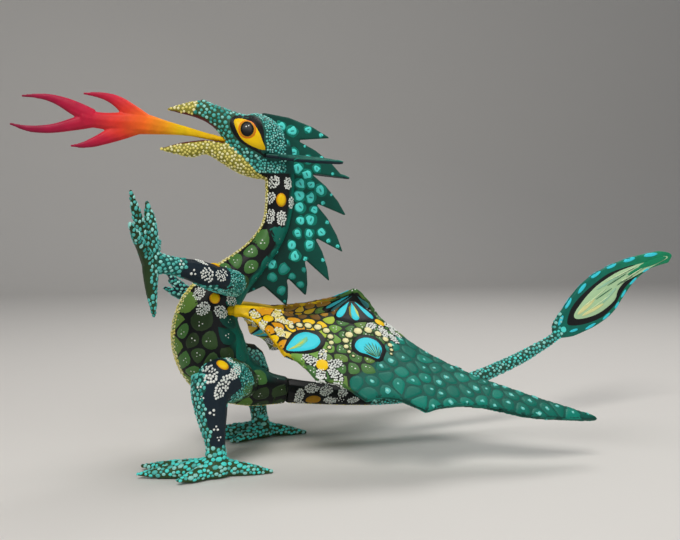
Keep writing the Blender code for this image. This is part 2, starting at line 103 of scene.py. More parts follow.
def nodes_of(mat):
    mat.use_nodes = True
    tree = mat.node_tree
    return tree, tree.nodes["Principled BSDF"]


def add_node(tree, kind, **values):
    """A new shader node; an underscore in a value's name stands for a space."""
    node = tree.nodes.new("ShaderNode" + kind)
    for name, value in values.items():
        node.inputs[name.replace("_", " ")].default_value = value
    return node


def surface_detail(tree, shader, low, high, scale, depth):
    """Varnish over brushwork: uneven gloss and a fine relief, both in object space."""
    place = add_node(tree, "TexCoord")
    gloss = add_node(tree, "TexNoise", Scale=scale, Detail=3.0)
    spread = add_node(tree, "MapRange", To_Min=low, To_Max=high)
    relief = add_node(tree, "TexNoise", Scale=scale * 5, Detail=4.0)
    bump = add_node(tree, "Bump", Strength=0.35, Distance=depth * MM)
    tree.links.new(place.outputs["Object"], gloss.inputs["Vector"])
    tree.links.new(place.outputs["Object"], relief.inputs["Vector"])
    tree.links.new(gloss.outputs["Fac"], spread.inputs["Value"])
    tree.links.new(spread.outputs["Result"], shader.inputs["Roughness"])
    tree.links.new(relief.outputs["Fac"], bump.inputs["Height"])
    tree.links.new(bump.outputs["Normal"], shader.inputs["Normal"])
    shader.inputs["Specular IOR Level"].default_value = 0.2
    shader.inputs["Coat Weight"].default_value = 0.03
    shader.inputs["Coat Roughness"].default_value = 0.3


PAINTS = {}


def paint(name):
    """One brushed-on colour of the palette."""
    if name not in PAINTS:
        mat = bpy.data.materials.new("paint_" + name)
        tree, shader = nodes_of(mat)
        shader.inputs["Base Color"].default_value = (*linear(PALETTE[name]), 1.0)
        surface_detail(tree, shader, 0.36, 0.58, 260.0, 0.12)
        PAINTS[name] = mat
    return PAINTS[name]


def ground_material():
    """Ground coat: the colours laid on the wood, with brush streaks and worn variation."""
    mat = bpy.data.materials.new("ground_coat")
    tree, shader = nodes_of(mat)
    colour = tree.nodes.new("ShaderNodeVertexColor")
    colour.layer_name = "ground"
    place = add_node(tree, "TexCoord")
    streak = add_node(tree, "TexNoise", Scale=180.0, Detail=5.0)
    light = add_node(tree, "MapRange", To_Min=0.72, To_Max=1.28)
    mix = add_node(tree, "VectorMath")
    mix.operation = "SCALE"
    tree.links.new(place.outputs["Object"], streak.inputs["Vector"])
    tree.links.new(streak.outputs["Fac"], light.inputs["Value"])
    tree.links.new(colour.outputs["Color"], mix.inputs[0])
    tree.links.new(light.outputs["Result"], mix.inputs["Scale"])
    tree.links.new(mix.outputs["Vector"], shader.inputs["Base Color"])
    surface_detail(tree, shader, 0.4, 0.62, 120.0, 0.3)
    return mat


GROUND = ground_material()


# ---------------------------------------------------------------- carved surfaces

def new_object(name, verts, faces, mats, face_mats=None):
    mesh = bpy.data.meshes.new(name)
    mesh.from_pydata(verts, [], faces)
    for mat in mats:
        mesh.materials.append(mat)
    if face_mats is not None:
        mesh.polygons.foreach_set("material_index", np.asarray(face_mats, dtype=np.int32))
    mesh.shade_smooth()
    ob = bpy.data.objects.new(name, mesh)
    bpy.context.scene.collection.objects.link(ob)
    return ob


def own(ob, node):
    """Ties a piece to the CAD node it belongs to."""
    body = next(b for b, nodes in frame["record"]["behaviour"]["bodies"].items() if node in nodes)
    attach(ob, body)
    return ob


class Carving:
    """A CAD piece as hand-carved wood, with its points in millimetres for laying on paint."""

    def __init__(self, node, voxel, rounds, reshape=None):
        self.node = node
        mesh = frame["nodes"][node].data.copy()
        ob = bpy.data.objects.new(node + "_wood", mesh)
        bpy.context.scene.collection.objects.link(ob)
        remesh = ob.modifiers.new("remesh", "REMESH")
        remesh.mode = "VOXEL"
        remesh.voxel_size = voxel * MM
        wear = ob.modifiers.new("wear", "SMOOTH")
        wear.factor = 0.5
        wear.iterations = rounds
        bpy.context.view_layer.update()
        graph = bpy.context.evaluated_depsgraph_get()
        smooth = bpy.data.meshes.new_from_object(ob.evaluated_get(graph))
        ob.modifiers.clear()
        ob.data = smooth
        self.ob = ob
        count = len(smooth.vertices)
        co = np.empty(count * 3, np.float32)
        smooth.vertices.foreach_get("co", co)
        self.co = co.reshape(-1, 3).astype(float) / MM - (HIPS_X, 0, 0)
        if reshape:
            self.co = reshape(self.co)
            smooth.vertices.foreach_set("co", ((self.co + (HIPS_X, 0, 0)) * MM).astype(np.float32).ravel())
            smooth.update()
        smooth.materials.clear()
        smooth.materials.append(GROUND)
        smooth.shade_smooth()
        normals = np.empty(count * 3, np.float32)
        smooth.vertex_normals.foreach_get("vector", normals)
        self.normals = normals.reshape(-1, 3).astype(float)
        smooth.calc_loop_triangles()
        tris = np.empty(len(smooth.loop_triangles) * 3, np.int32)
        smooth.loop_triangles.foreach_get("vertices", tris)
        self.tris = tris.reshape(-1, 3)
        self.tree = BVHTree.FromPolygons(self.co.tolist(), self.tris.tolist())
        own(ob, node)
        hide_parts(node)

    def colour(self, rule):
        """Lays the ground coat: rule gives a colour for every point and normal."""
        values = np.ones((len(self.co), 4), np.float32)
        values[:, :3] = rule(self.co, self.normals)
        layer = self.ob.data.color_attributes.new("ground", "FLOAT_COLOR", "POINT")
        layer.data.foreach_set("color", values.ravel())

    def smooth_normal(self, index, point):
        """Normal at a point of a triangle, blended between its corners."""
        corners = self.tris[index]
        distance = np.linalg.norm(self.co[corners] - np.array(point), axis=1) + 1e-6
        blended = (self.normals[corners] / distance[:, None]).sum(axis=0)
        return Vector(blended).normalized()

    def nearest(self, point):
        place, _, index, _ = self.tree.find_nearest(Vector(point))
        return place, self.smooth_normal(index, place)

    def cast(self, point, direction, reach=9.0):
        """Where a line pressed onto the surface along a direction first meets it."""
        place, _, index, _ = self.tree.ray_cast(Vector(point) - direction * reach, direction, reach * 2)
        if place is None:
            return self.nearest(point)
        return place, self.smooth_normal(index, place)

    def from_side(self, x, z, side):
        """The surface point seen at (x, z) from one side of the dragon."""
        return self.cast((x, side * 60, z), Vector((0, -side, 0)), 60)

    def scatter(self, gap, keep, seed):
        """Points spread evenly over the surface, no closer than gap, a length or a rule for one."""
        spacing = gap if callable(gap) else lambda points: np.full(len(points), float(gap))
        rng = np.random.default_rng(seed)
        a, b, c = (self.co[self.tris[:, k]] for k in range(3))
        area = np.linalg.norm(np.cross(b - a, c - a), axis=1) / 2
        mid = (a + b + c) / 3
        share = area * keep(mid, self.normals[self.tris[:, 0]]) / spacing(mid) ** 2
        total = int(share.sum() * CANDIDATES)
        if total == 0:
            return np.empty((0, 3)), np.empty((0, 3)), np.empty(0)
        pick = rng.choice(len(self.tris), total, p=share / share.sum())
        u, v = rng.random(total), rng.random(total)
        flip = u + v > 1
        u[flip], v[flip] = 1 - u[flip], 1 - v[flip]
        points = a[pick] + (b - a)[pick] * u[:, None] + (c - a)[pick] * v[:, None]
        na, nb, nc = (self.normals[self.tris[pick, k]] for k in range(3))
        normals = na + (nb - na) * u[:, None] + (nc - na) * v[:, None]
        normals /= np.linalg.norm(normals, axis=1)[:, None]
        inside = keep(points, normals)
        points, normals = points[inside], normals[inside]
        gaps = spacing(points)
        chosen = thin_out(points.tolist(), gaps.tolist())
        return points[chosen], normals[chosen], gaps[chosen]


def thin_out(points, gaps):
    """Indices of the points that keep their distance from all points kept before them."""
    cell = max(gaps)
    grid, chosen = {}, []
    around = [(i, j, k) for i in (-1, 0, 1) for j in (-1, 0, 1) for k in (-1, 0, 1)]
    for index, ((x, y, z), gap) in enumerate(zip(points, gaps)):
        key = (int(x // cell), int(y // cell), int(z // cell))
        free = True
        for i, j, k in around:
            for ox, oy, oz, other in grid.get((key[0] + i, key[1] + j, key[2] + k), ()):
                limit = (gap + other) / 2
                if (x - ox) ** 2 + (y - oy) ** 2 + (z - oz) ** 2 < limit * limit:
                    free = False
                    break
            if not free:
                break
        if free:
            grid.setdefault(key, []).append((x, y, z, gap))
            chosen.append(index)
    return np.array(chosen, dtype=int)


def room_around(points, gaps):
    """Half the way from each point to its nearest neighbour, within reason."""
    tree = KDTree(len(points))
    for index, point in enumerate(points):
        tree.insert(point, index)
    tree.balance()
    nearest = [tree.find_n(point, 2)[-1][2] for point in points]
    return np.clip(nearest, gaps * 0.9, gaps * 1.45) / 2


def wobble(points, size):
    """A slow wavering, so that painted borders aren't ruled lines."""
    x, y, z = points.T
    return size * (np.sin(0.61 * x + 0.35 * z) + np.sin(0.47 * z - 0.58 * y + 1.7)) / 2


def upright(normal, up=(0, 0, 1)):
    """The upward and the rightward direction on a surface with this normal."""
    upward = Vector(up) - normal * normal.dot(Vector(up))
    upward = upward.normalized() if upward.length > 0.05 else normal.orthogonal().normalized()
    return upward, upward.cross(normal)


# ---------------------------------------------------------------- paint that stands on a surface

def dome_faces(first, rings, count):
    """Faces between rings of corners, one within the other, and up to a last middle corner."""
    faces = []
    for low in range(first, first + (rings - 1) * count, count):
        for k in range(count):
            n = (k + 1) % count
            faces.append((low + k, low + n, low + count + n, low + count + k))
    last = first + (rings - 1) * count
    return faces + [(last + k, last + (k + 1) % count, last + count) for k in range(count)]


def build_paint(name, carving, points, faces, shades):
    """One mesh of painted faces, given in millimetres with a palette name for each face."""
    names = sorted(set(shades))
    lookup = {shade: i for i, shade in enumerate(names)}
    verts = ((points + (HIPS_X, 0, 0)) * MM).tolist()
    ob = new_object(name, verts, faces, [paint(n) for n in names], [lookup[s] for s in shades])
    own(ob, carving.node)


class Dots:
    """Raised paint dots of one piece, gathered and then built as one mesh."""

    RINGS = ((1.0, -0.3), (0.86, 0.16), (0.5, 0.36))
    CROWN = 0.42
    SIDES = 7

    def __init__(self, carving):
        self.carving = carving
        self.centres, self.normals, self.radii, self.shades = [], [], [], []
        self.lengths, self.headings = [], []

    def add(self, centres, normals, radii, shades, lengths=None, heading=(0.3, 0.2, 1)):
        """Adds dots; lengths stretch each one along its heading."""
        self.centres += [tuple(c) for c in centres]
        self.normals += [tuple(n) for n in normals]
        self.radii += list(radii)
        self.shades += list(shades)
        self.lengths += list(lengths) if lengths is not None else [1.0] * len(radii)
        self.headings += [tuple(heading)] * len(radii)

    def press(self, point, direction, radius, shade, lift=0.0):
        place, normal = self.carving.cast(point, direction)
        self.add([place + normal * lift], [normal], [radius], [shade])

    def build(self, name):
        if not self.centres:
            return
        centres, normals = np.array(self.centres), np.array(self.normals)
        radii = np.array(self.radii)
        across = np.cross(np.array(self.headings), normals)
        size = np.linalg.norm(across, axis=1)
        across = np.where(size[:, None] > 0.05, across, np.cross((1.0, 0.1, 0.1), normals))
        across /= np.linalg.norm(across, axis=1)[:, None]
        along = np.cross(normals, across) * np.array(self.lengths)[:, None]
        rings = []
        for spread, height in self.RINGS:
            for k in range(self.SIDES):
                turn = 2 * math.pi * k / self.SIDES
                flat = across * math.cos(turn) + along * math.sin(turn)
                rings.append(centres + (flat * spread + normals * height) * radii[:, None])
        rings.append(centres + normals * (self.CROWN * radii)[:, None])
        points = np.stack(rings, axis=1)
        per = points.shape[1]
        template = dome_faces(0, len(self.RINGS), self.SIDES)
        faces = [tuple(index * per + v for v in face) for index in range(len(points)) for face in template]
        shades = [shade for shade in self.shades for _ in template]
        build_paint(name, self.carving, points.reshape(-1, 3), faces, shades)


class Patches:
    """Flat brushed shapes of one piece, each pressed onto the surface and joined in one mesh."""

    RINGS = (1.0, 0.93, 0.62, 0.3)
    SUNK = -0.15

    def __init__(self, carving):
        self.carving = carving
        self.verts, self.faces, self.shades = [], [], []

    def add(self, centre, outline, coats, shade, up=(0, 0, 1), aim=None, crown=0.0):
        """Presses an outline of (right, up) offsets onto the surface around a centre.

        aim is the direction the brush points in, or None for straight at the surface.
        """
        place, normal = self.carving.nearest(centre)
        if aim is not None:
            normal = -Vector(aim).normalized()
        upward, right = upright(normal, up)
        first = len(self.verts)
        lift = coats * LAYER
        for ring in self.RINGS:
            height = self.SUNK if ring == 1.0 else lift + crown * (1 - ring * ring)
            for a, b in outline:
                hit, out = self.carving.cast(place + right * (a * ring) + upward * (b * ring), -normal)
                self.verts.append(tuple(hit + out * height))
        hit, out = self.carving.cast(place, -normal)
        self.verts.append(tuple(hit + out * (lift + crown)))
        faces = dome_faces(first, len(self.RINGS), len(outline))
        self.faces += faces
        self.shades += [shade] * len(faces)

    def build(self, name):
        if self.verts:
            build_paint(name, self.carving, np.array(self.verts), self.faces, self.shades)


# ---------------------------------------------------------------- outlines

def ellipse(rx, ry, turn=0.0, count=18):
    """An ellipse turned by an angle in degrees."""
    c, s = math.cos(math.radians(turn)), math.sin(math.radians(turn))
    points = []
    for k in range(count):
        a = 2 * math.pi * k / count
        x, y = rx * math.cos(a), ry * math.sin(a)
        points.append((x * c - y * s, x * s + y * c))
    return points


def drop(length, width, turn=0.0, count=22):
    """A rounded petal whose point lies at its start, drawn around its middle."""
    c, s = math.cos(math.radians(turn)), math.sin(math.radians(turn))
    points = []
    for k in range(count):
        a = 2 * math.pi * k / count
        x = math.cos(a) * length / 2
        y = math.sin(a) * width / 2 * (0.55 + 0.45 * math.cos(a)) * 1.25
        points.append((x * c - y * s, x * s + y * c))
    return points


def middle_of(points):
    return sum(p[0] for p in points) / len(points), sum(p[1] for p in points) / len(points)


def moved(outline, middle):
    return [(middle[0] + a, middle[1] + b) for a, b in outline]


def direction(start, end):
    """Angle in degrees from one point to another."""
    return math.degrees(math.atan2(end[1] - start[1], end[0] - start[0]))


def counter_clockwise(points):
    area = sum(a[0] * b[1] - b[0] * a[1] for a, b in zip(points, points[1:] + points[:1]))
    return points if area > 0 else points[::-1]


def petal_between(start, end, width):
    """A petal whose point is at its start and whose round end is at its end."""
    length = math.hypot(end[0] - start[0], end[1] - start[1])
    return moved(drop(length, width, direction(start, end)), middle_of((start, end)))


def closed_curve(points, steps=3):
    """A smooth closed line through a few points, always counter-clockwise."""
    points = [Vector(p) for p in counter_clockwise(points)]
    count, result = len(points), []
    for i in range(count):
        p0, p1, p2, p3 = (points[(i + k) % count] for k in (-1, 0, 1, 2))
        for step in range(steps):
            t = step / steps
            q = 0.5 * (2 * p1 + (p2 - p0) * t + (2 * p0 - 5 * p1 + 4 * p2 - p3) * t * t
                       + (3 * p1 - p0 - 3 * p2 + p3) * t ** 3)
            result.append((q.x, q.y))
    return result


def flipped(outline, side):
    """An outline drawn for the near side, turned over for the far side."""
    return outline if side == NEAR else [(-a, b) for a, b in reversed(outline)]


def rounded(polygon, times=2):
    """Cuts the corners of a polygon until it looks brushed by hand."""
    for _ in range(times):
        cut = []
        for p, q in zip(polygon, polygon[1:] + polygon[:1]):
            cut.append((p[0] * 0.75 + q[0] * 0.25, p[1] * 0.75 + q[1] * 0.25))
            cut.append((p[0] * 0.25 + q[0] * 0.75, p[1] * 0.25 + q[1] * 0.75))
        polygon = cut
    return polygon


def clip(polygon, nx, ny, limit):
    """The part of a convex polygon where nx * x + ny * y <= limit."""
    result = []
    for p, q in zip(polygon, polygon[1:] + polygon[:1]):
        dp, dq = nx * p[0] + ny * p[1] - limit, nx * q[0] + ny * q[1] - limit
        if dp <= 0:
            result.append(p)
        if dp * dq < 0:
            t = dp / (dp - dq)
            result.append((p[0] + (q[0] - p[0]) * t, p[1] + (q[1] - p[1]) * t))
    return result


def respaced(polygon, count):
    """The same closed outline with evenly spaced points."""
    points = np.array(polygon + polygon[:1])
    steps = np.linalg.norm(np.diff(points, axis=0), axis=1)
    along = np.concatenate([[0], np.cumsum(steps)])
    wanted = np.linspace(0, along[-1], count, endpoint=False)
    return list(zip(np.interp(wanted, along, points[:, 0]), np.interp(wanted, along, points[:, 1])))


def scale_cells(points, normals, gaps, line):
    """Outlines of close-packed scales around seed points, a line's width apart.

    Gives each scale's centre, its normal and its (right, up) outline.
    """
    cells = []
    for i, (point, normal) in enumerate(zip(points, normals)):
        near = np.where(np.linalg.norm(points - point, axis=1) < gaps[i] * 2.4)[0]
        across = np.array(upright(Vector(normal))[::-1])
        polygon = ellipse(gaps[i] * CELL_REACH, gaps[i] * CELL_REACH, count=CORNERS)
        for j in near:
            if j == i or np.dot(normals[i], normals[j]) < 0.1:
                continue
            offset = across @ (points[j] - point)
            length = math.hypot(*offset)
            if length < 1e-6:
                continue
            polygon = clip(polygon, *(offset / length), max(length / 2 - line / 2, 0.3))
            if len(polygon) < 3:
                break
        if len(polygon) >= 3:
            cells.append((point, normal, respaced(rounded(polygon), CORNERS)))
    return cells


def inside(outline, a, b):
    """Which of the points (a, b) lie within a closed outline."""
    a, b = np.asarray(a, float), np.asarray(b, float)
    result = np.zeros(a.shape, bool)
    for (ax, ay), (bx, by) in zip(outline, outline[1:] + outline[:1]):
        crosses = (ay > b) != (by > b)
        if ay != by:
            result ^= crosses & (a < (bx - ax) * (b - ay) / (by - ay) + ax)
    return result


def near_segment(points, start, end, reach):
    """Which points lie within reach of a straight line."""
    start, end = np.array(start, float), np.array(end, float)
    run = end - start
    t = np.clip(((points - start) @ run) / (run @ run), 0, 1)
    return np.linalg.norm(points - start - t[:, None] * run, axis=1) < reach


def steps_between(value, low, high):
    return np.clip((value - low) / (high - low), 0, 1)[:, None]


def mixed(first, second, share):
    return np.asarray(first) * (1 - share) + np.asarray(second) * share


def ramp(value, stops):
    """Colour that runs through (value, palette name) stops."""
    places = [v for v, _ in stops]
    colours = np.array([linear(PALETTE[name]) for _, name in stops])
    return np.stack([np.interp(value, places, colours[:, k]) for k in range(3)], axis=1)


def tint(name):
    return np.array(linear(PALETTE[name]))


# ---------------------------------------------------------------- painted motifs

def petal(dots, centre, aim, length, width, turn, size, rng, shades=("white", "white_soft"),
          lift=0.1):
    """One flower petal: an ellipse closely filled with small dots, seen along aim."""
    normal = -Vector(aim).normalized()
    upward = Vector((0, 0, 1)) - normal * normal.z
    upward = upward.normalized() if upward.length > 0.3 else Vector((0, 1, 0))
    right = upward.cross(normal)
    c, s = math.cos(math.radians(turn)), math.sin(math.radians(turn))
    spots = rng.uniform(-1, 1, (PETAL_TRIES, 2))
    spots = spots[(spots ** 2).sum(axis=1) < 1] * (length / 2, width / 2)
    places = np.concatenate([spots, np.zeros((len(spots), 1))], axis=1)
    chosen = places[thin_out(places.tolist(), [size * 1.04] * len(places))]
    radii = room_around(chosen, np.full(len(chosen), size)) * PETAL_FILL
    for (a, b, _), radius in zip(chosen, radii):
        offset = right * float(a * c - b * s) + upward * float(a * s + b * c)
        dots.press(Vector(centre) + offset, -normal, radius, shades[int(rng.integers(len(shades)))], lift)


def three_dots(dots, point, normal, radius, spread, rng, shade="white"):
    """The carver's mark in the middle of a scale: three small dots."""
    n = Vector(normal)
    right = n.orthogonal().normalized()
    upward = n.cross(right)
    start = rng.uniform(0, 2 * math.pi)
    for k in range(3):
        turn = start + k * 2.1
        offset = right * math.cos(turn) * spread + upward * math.sin(turn) * spread
        dots.press(Vector(point) + offset, -n, radius * rng.uniform(0.8, 1.2), shade)


def blob(rng, radius, count=9, rough=0.16):
    """A wobbly round outline."""
    points = []
    for k in range(count):
        a = 2 * math.pi * k / count
        r = radius * (1 + rng.uniform(-rough, rough))
        points.append((r * math.cos(a), r * math.sin(a)))
    return closed_curve(points, 2)


def swirl(patches, point, normal, radius, rng, main):
    """A thick dab with a teal halo and a darker turn of the brush in it."""
    aim = -Vector(normal)
    patches.add(point, blob(rng, radius * 1.25), 1, "teal_light", aim=aim)
    patches.add(point, blob(rng, radius * 0.88, rough=0.24), 2.4, main, aim=aim, crown=0.25)
    turn = rng.uniform(0, 360)
    dark = [(a * radius * 0.5, b * radius * 0.5) for a, b in ellipse(0.85, 0.32, turn)]
    patches.add(point, dark, 4.8, "turquoise_deep", aim=aim)


def cells_on(carving, patches, dots, gap, keep, seed, shade_of, line=1.0):
    """Scales over part of a surface. shade_of gives each one's shade and the size of its dots.

    Gives the middle and the normal of every scale.
    """
    rng = np.random.default_rng(seed)
    points, normals, gaps = carving.scatter(gap, keep, seed)
    middles = []
    for point, normal, outline in scale_cells(points, normals, gaps, line):
        shade, mark = shade_of(point, rng)
        patches.add(point, outline, 1, shade, aim=-Vector(normal), crown=0.12)
        if mark:
            three_dots(dots, point, normal, mark, mark * 1.9, rng)
        middles.append((point, normal))
    return middles


def dots_on(carving, dots, gap, keep, seed, shades, fill=0.92, longer=1.0, heading=(0.3, 0.2, 1)):
    """Close raised dots over part of a surface; gap is a length or a rule for one."""
    rng = np.random.default_rng(seed)
    points, normals, gaps = carving.scatter(gap, keep, seed)
    if len(points) < 2:
        return
    radii = room_around(points, gaps) * fill * rng.uniform(0.9, 1.04, len(gaps))
    names = [shades[int(k)] for k in rng.integers(len(shades), size=len(gaps))]
    dots.add(points, normals, radii, names, rng.uniform(1.0, max(longer, 1.001), len(gaps)), heading)


# ---------------------------------------------------------------- body

def along_spine(points):
    """Each point's place along the spine, and how squarely it faces the belly's side."""
    best = np.full(len(points), 1e9)
    place, facing = np.zeros(len(points)), np.zeros(len(points))
    flat = points[:, [0, 2]]
    for index, (start, end) in enumerate(zip(SPINE[:-1], SPINE[1:])):
        run = end - start
        t = np.clip(((flat - start) @ run) / (run @ run), 0, 1)
        away = flat - start - t[:, None] * run
        distance = np.linalg.norm(away, axis=1)
        front = away @ np.array([run[1], -run[0]]) / np.linalg.norm(run)
        closer = distance < best
        best[closer] = distance[closer]
        place[closer] = (index + t)[closer]
        facing[closer] = (front / np.sqrt(front ** 2 + points[:, 1] ** 2 + 1e-6))[closer]
    return place, facing


EYE_CENTRE = (-0.6, 202.8)
EYE_RIM = closed_curve([(-10.5, 4.1), (-7.2, 9.2), (1.6, 10.2), (7.7, 7.5), (10.3, -0.1), (10.8, -8.6),
                        (14.2, -16.6), (5.9, -13.9), (-2.8, -9), (-8.3, -2.9)])
EYE_FIELD = closed_curve([(-7.8, 6.2), (-2.8, 7.3), (3.4, 4.4), (7.2, -1.6), (9.2, -6.6), (11.4, -12.4),
                          (3.2, -10.7), (-3.4, -6.3), (-6.9, 0.6)])
NECK_FLOWER = (21.3, 160.1)
NECK_PETALS = [((17.0, 171.3), 8, 5.6, 70), ((25.6, 170.6), 8, 4.6, 95), ((15.4, 161.2), 7, 4.2, 80),
               ((28.4, 158.5), 7, 4.0, 90), ((14.9, 149.8), 9, 4.4, 85), ((21.6, 148.6), 9, 6.2, 90)]
CHEST_FLOWER = (-21.7, 99.4)
CHEST_PETALS = [((-30.6, 102.3), 8, 6, 55), ((-28.7, 93.4), 9, 6.6, 50), ((-18.2, 91.2), 9, 6.4, -40),
                ((-11.2, 97.4), 8, 5.6, -65)]


def body_zones(points, normals):
    """The parts of the body that are painted alike."""
    x, y, z = points.T
    facing = along_spine(points)[1]
    head = z > HEAD_BASE_Z
    upper_jaw = head & (z > 201 - 0.32 * (x + 14)) & (x < -12)
    mouth = head & (x < -11) & (((normals[:, 2] < -0.72) & upper_jaw)
                                | ((normals[:, 2] > 0.72) & ~upper_jaw & (z < 201) & (np.abs(y) < 3.6)))
    throat = (z < 197 - 0.98 * (x + 14)) & (x < 13) & (z > 168) & ~upper_jaw
    beak = upper_jaw & (x < -31.5 + 0.45 * (z - 215))
    belly = (facing > 0.94) & ~head
    back = ~head & (facing < -0.5)
    neck = (x > -5) & (z < HEAD_BASE_Z) & (z > 141.5 - 0.2 * (x - 21))
    chest = ((x - CHEST_FLOWER[0]) ** 2 / 16.5 ** 2 + (z - 97) ** 2 / 12.5 ** 2 < 1)
    return dict(facing=facing, head=head, mouth=mouth, throat=throat | beak, belly=belly,
                neck=neck & ~belly, chest=chest & ~belly & ~back)


def away_from_joins(points):
    """Clear of the sockets and of the crest's slot."""
    clear = np.ones(len(points), bool)
    for start, end, reach in BODY_JOINS:
        clear &= ~near_segment(points, start, end, reach)
    in_slot = (np.abs(points[:, 1]) < CREST_HALF_WIDTH) & (along_spine(points)[1] < -0.3)
    return clear & ~in_slot & (points[:, 0] < RUMP_FACE_X)


# Line and reach of each socket in the body.
BODY_JOINS = [((-7, side * 19.5, 91.5), (-14, side * 12, 91), 5.4) for side in (NEAR, FAR)]
BODY_JOINS += [((19, side * 10.5, 186.6), (14, side * 8, 187), 2.8) for side in (NEAR, FAR)]


def body_colour(points, normals):
    x, _, z = points.T
    zone = body_zones(points, normals)
    colour = np.tile(tint("black"), (len(points), 1))
    teal = mixed(tint("teal_deep"), tint("teal"), steps_between(z, 45, 70))
    colour = mixed(colour, teal, steps_between(-zone["facing"], 0.45, 0.75))
    colour = mixed(colour, tint("black"), steps_between(x + 0.3 * (44 - z), 8, 20) * (z < 75)[:, None])
    colour[zone["belly"]] = tint("cream_olive")
    skull = mixed(tint("olive"), tint("turquoise_shade") * 0.5, steps_between(x, -30, 15))
    colour[zone["head"]] = skull[zone["head"]]
    colour[zone["throat"]] = tint("cream_olive")
    colour[zone["mouth"]] = tint("maroon")
    return colour


def body_cell_shade(point, rng):
    place, facing = along_spine(point[None])
    place, facing, z = place[0], facing[0], point[2]
    if facing < -0.62:
        return ("teal", 0.5) if z > 62 else ("teal_deep", 0.45)
    if place > 12.6:
        return ("olive_dark" if facing > -0.3 else "teal_deep"), 0.6
    if facing > 0.8:
        return ("olive_light" if z < 112 else "green"), 0.55
    if facing > 0.52:
        return "green", 0.68
    # Mid-torso scales are darker olive: partly the body's own colour, partly painted shade.
    if 7.2 < place < 10.9:
        return (("olive", "olive_dark")[int(rng.integers(2))] if facing > -0.35 else "teal_deep"), 0.66
    if place >= 10.9:
        return ("green" if facing < 0.1 else "olive"), 0.68
    return ("green" if rng.random() < 0.5 else "olive"), 0.68


def side_petals(carving, dots, petals, side, size, rng):
    """Petals on one side of the dragon, given as they look from its left."""
    for (x, z), length, width, turn in petals:
        place, _ = carving.from_side(x, z, side)
        petal(dots, place, (0, -side, 0), length, width, turn if side == NEAR else 180 - turn, size, rng)


def flower(carving, dots, patches, centre, petals, side, size, rng, tall=1.35):
    """A flower on the side of the body: dotted petals round a raised yellow middle."""
    side_petals(carving, dots, petals, side, size, rng)
    place, normal = carving.from_side(*centre, side)
    patches.add(place, ellipse(3.3, 3.3 * tall), 2, "amber", aim=-normal, crown=0.5)
    patches.add(place, ellipse(2.6, 2.8 * tall), 5, "yellow", aim=-normal, crown=0.5)


def paint_eye(carving, patches, dots, side):
    aim = (0, -side, 0)
    place, _ = carving.from_side(*EYE_CENTRE, side)
    coats = [(EYE_RIM, "black"), (EYE_FIELD, "yellow"), (ellipse(5.5, 6.0), "orange"),
             (ellipse(4.9, 5.4), "amber"), (ellipse(4.1, 4.8), "black")]
    for level, (outline, shade) in enumerate(coats):
        patches.add(place, flipped(outline, side), 2 + 1.9 * level, shade, aim=aim)
    for dx, dz, radius in ((-0.6, 1.4, 0.8), (0.9, 2.0, 0.7), (-0.2, 0.2, 0.4)):
        spot, _ = carving.from_side(EYE_CENTRE[0] + dx * -side, EYE_CENTRE[1] + dz, side)
        dots.add([spot + Vector((0, side, 0)) * 1.0], [(0, side, 0)], [radius], ["white"])


def paint_body():
    body = Carving("body", 0.8, 3)
    body.colour(body_colour)
    dots, patches = Dots(body), Patches(body)
    rng = np.random.default_rng(11)

    def eyelid(points, grow):
        x = (points[:, 0] - EYE_CENTRE[0]) / grow
        z = (points[:, 2] - EYE_CENTRE[1]) / grow
        return inside(EYE_RIM, x, z) & (np.abs(points[:, 1]) > 5)

    def skin(points, normals):
        zone = body_zones(points, normals)
        return (zone["head"] & ~zone["throat"] & ~zone["mouth"] & ~eyelid(points, 1.1)
                & away_from_joins(points))

    def in_front(points):
        return points[:, 0] < 6.5 + 0.3 * (188 - points[:, 2])

    def front_head(points, normals):
        return skin(points, normals) & in_front(points)

    def back_head(points, normals):
        return skin(points, normals) & ~in_front(points)

    def creamy(points, normals):
        zone = body_zones(points, normals)
        return (zone["throat"] | zone["belly"]) & ~zone["mouth"] & (points[:, 0] < 24)

    def scaly(points, normals):
        zone = body_zones(points, normals)
        return (~zone["head"] & ~zone["throat"] & ~zone["belly"] & ~zone["neck"] & ~zone["chest"]
                & (zone["facing"] < 0.92) & (points[:, 0] < 21) & away_from_joins(points)
                & ((points[:, 2] < 138.5) | (points[:, 2] > HEAD_BASE_Z)))

    dots_on(body, dots, 2.1, front_head, 1,
            ("turquoise", "turquoise_deep", "turquoise", "turquoise_pale"), 1.02)
    dots_on(body, dots, 1.4, back_head, 2,
            ("turquoise", "turquoise_pale", "turquoise_pale", "turquoise"), 1.02)
    dots_on(body, dots, 1.75, creamy, 3, ("cream", "cream_pale", "cream", "cream_pale"), 1.02)
    cells_on(body, patches, dots, lambda p: np.where(p[:, 2] > 112, 7.6, 8.6), scaly, 4,
             body_cell_shade, line=0.95)
    for side in (NEAR, FAR):
        paint_eye(body, patches, dots, side)
        flower(body, dots, patches, NECK_FLOWER, NECK_PETALS, side, 0.95, rng)
        flower(body, dots, patches, CHEST_FLOWER, CHEST_PETALS, side, 0.9, rng, 1.05)
    dots.build("body_dots")
    patches.build("body_scales")


# ---------------------------------------------------------------- crest

def crest_taper(points):
    """Pares the crest thinner towards its edges, as a knife would."""
    x, y, z = points.T
    root = np.interp(z, [92, 110, 125, 140, 190, 205, 216], [5, 8, 20, 30, 30, 18, 8])
    out = np.clip((x - root) / 34, 0, 1)
    points = points.copy()
    points[:, 1] = y * (1 - 0.45 * out)
    return points


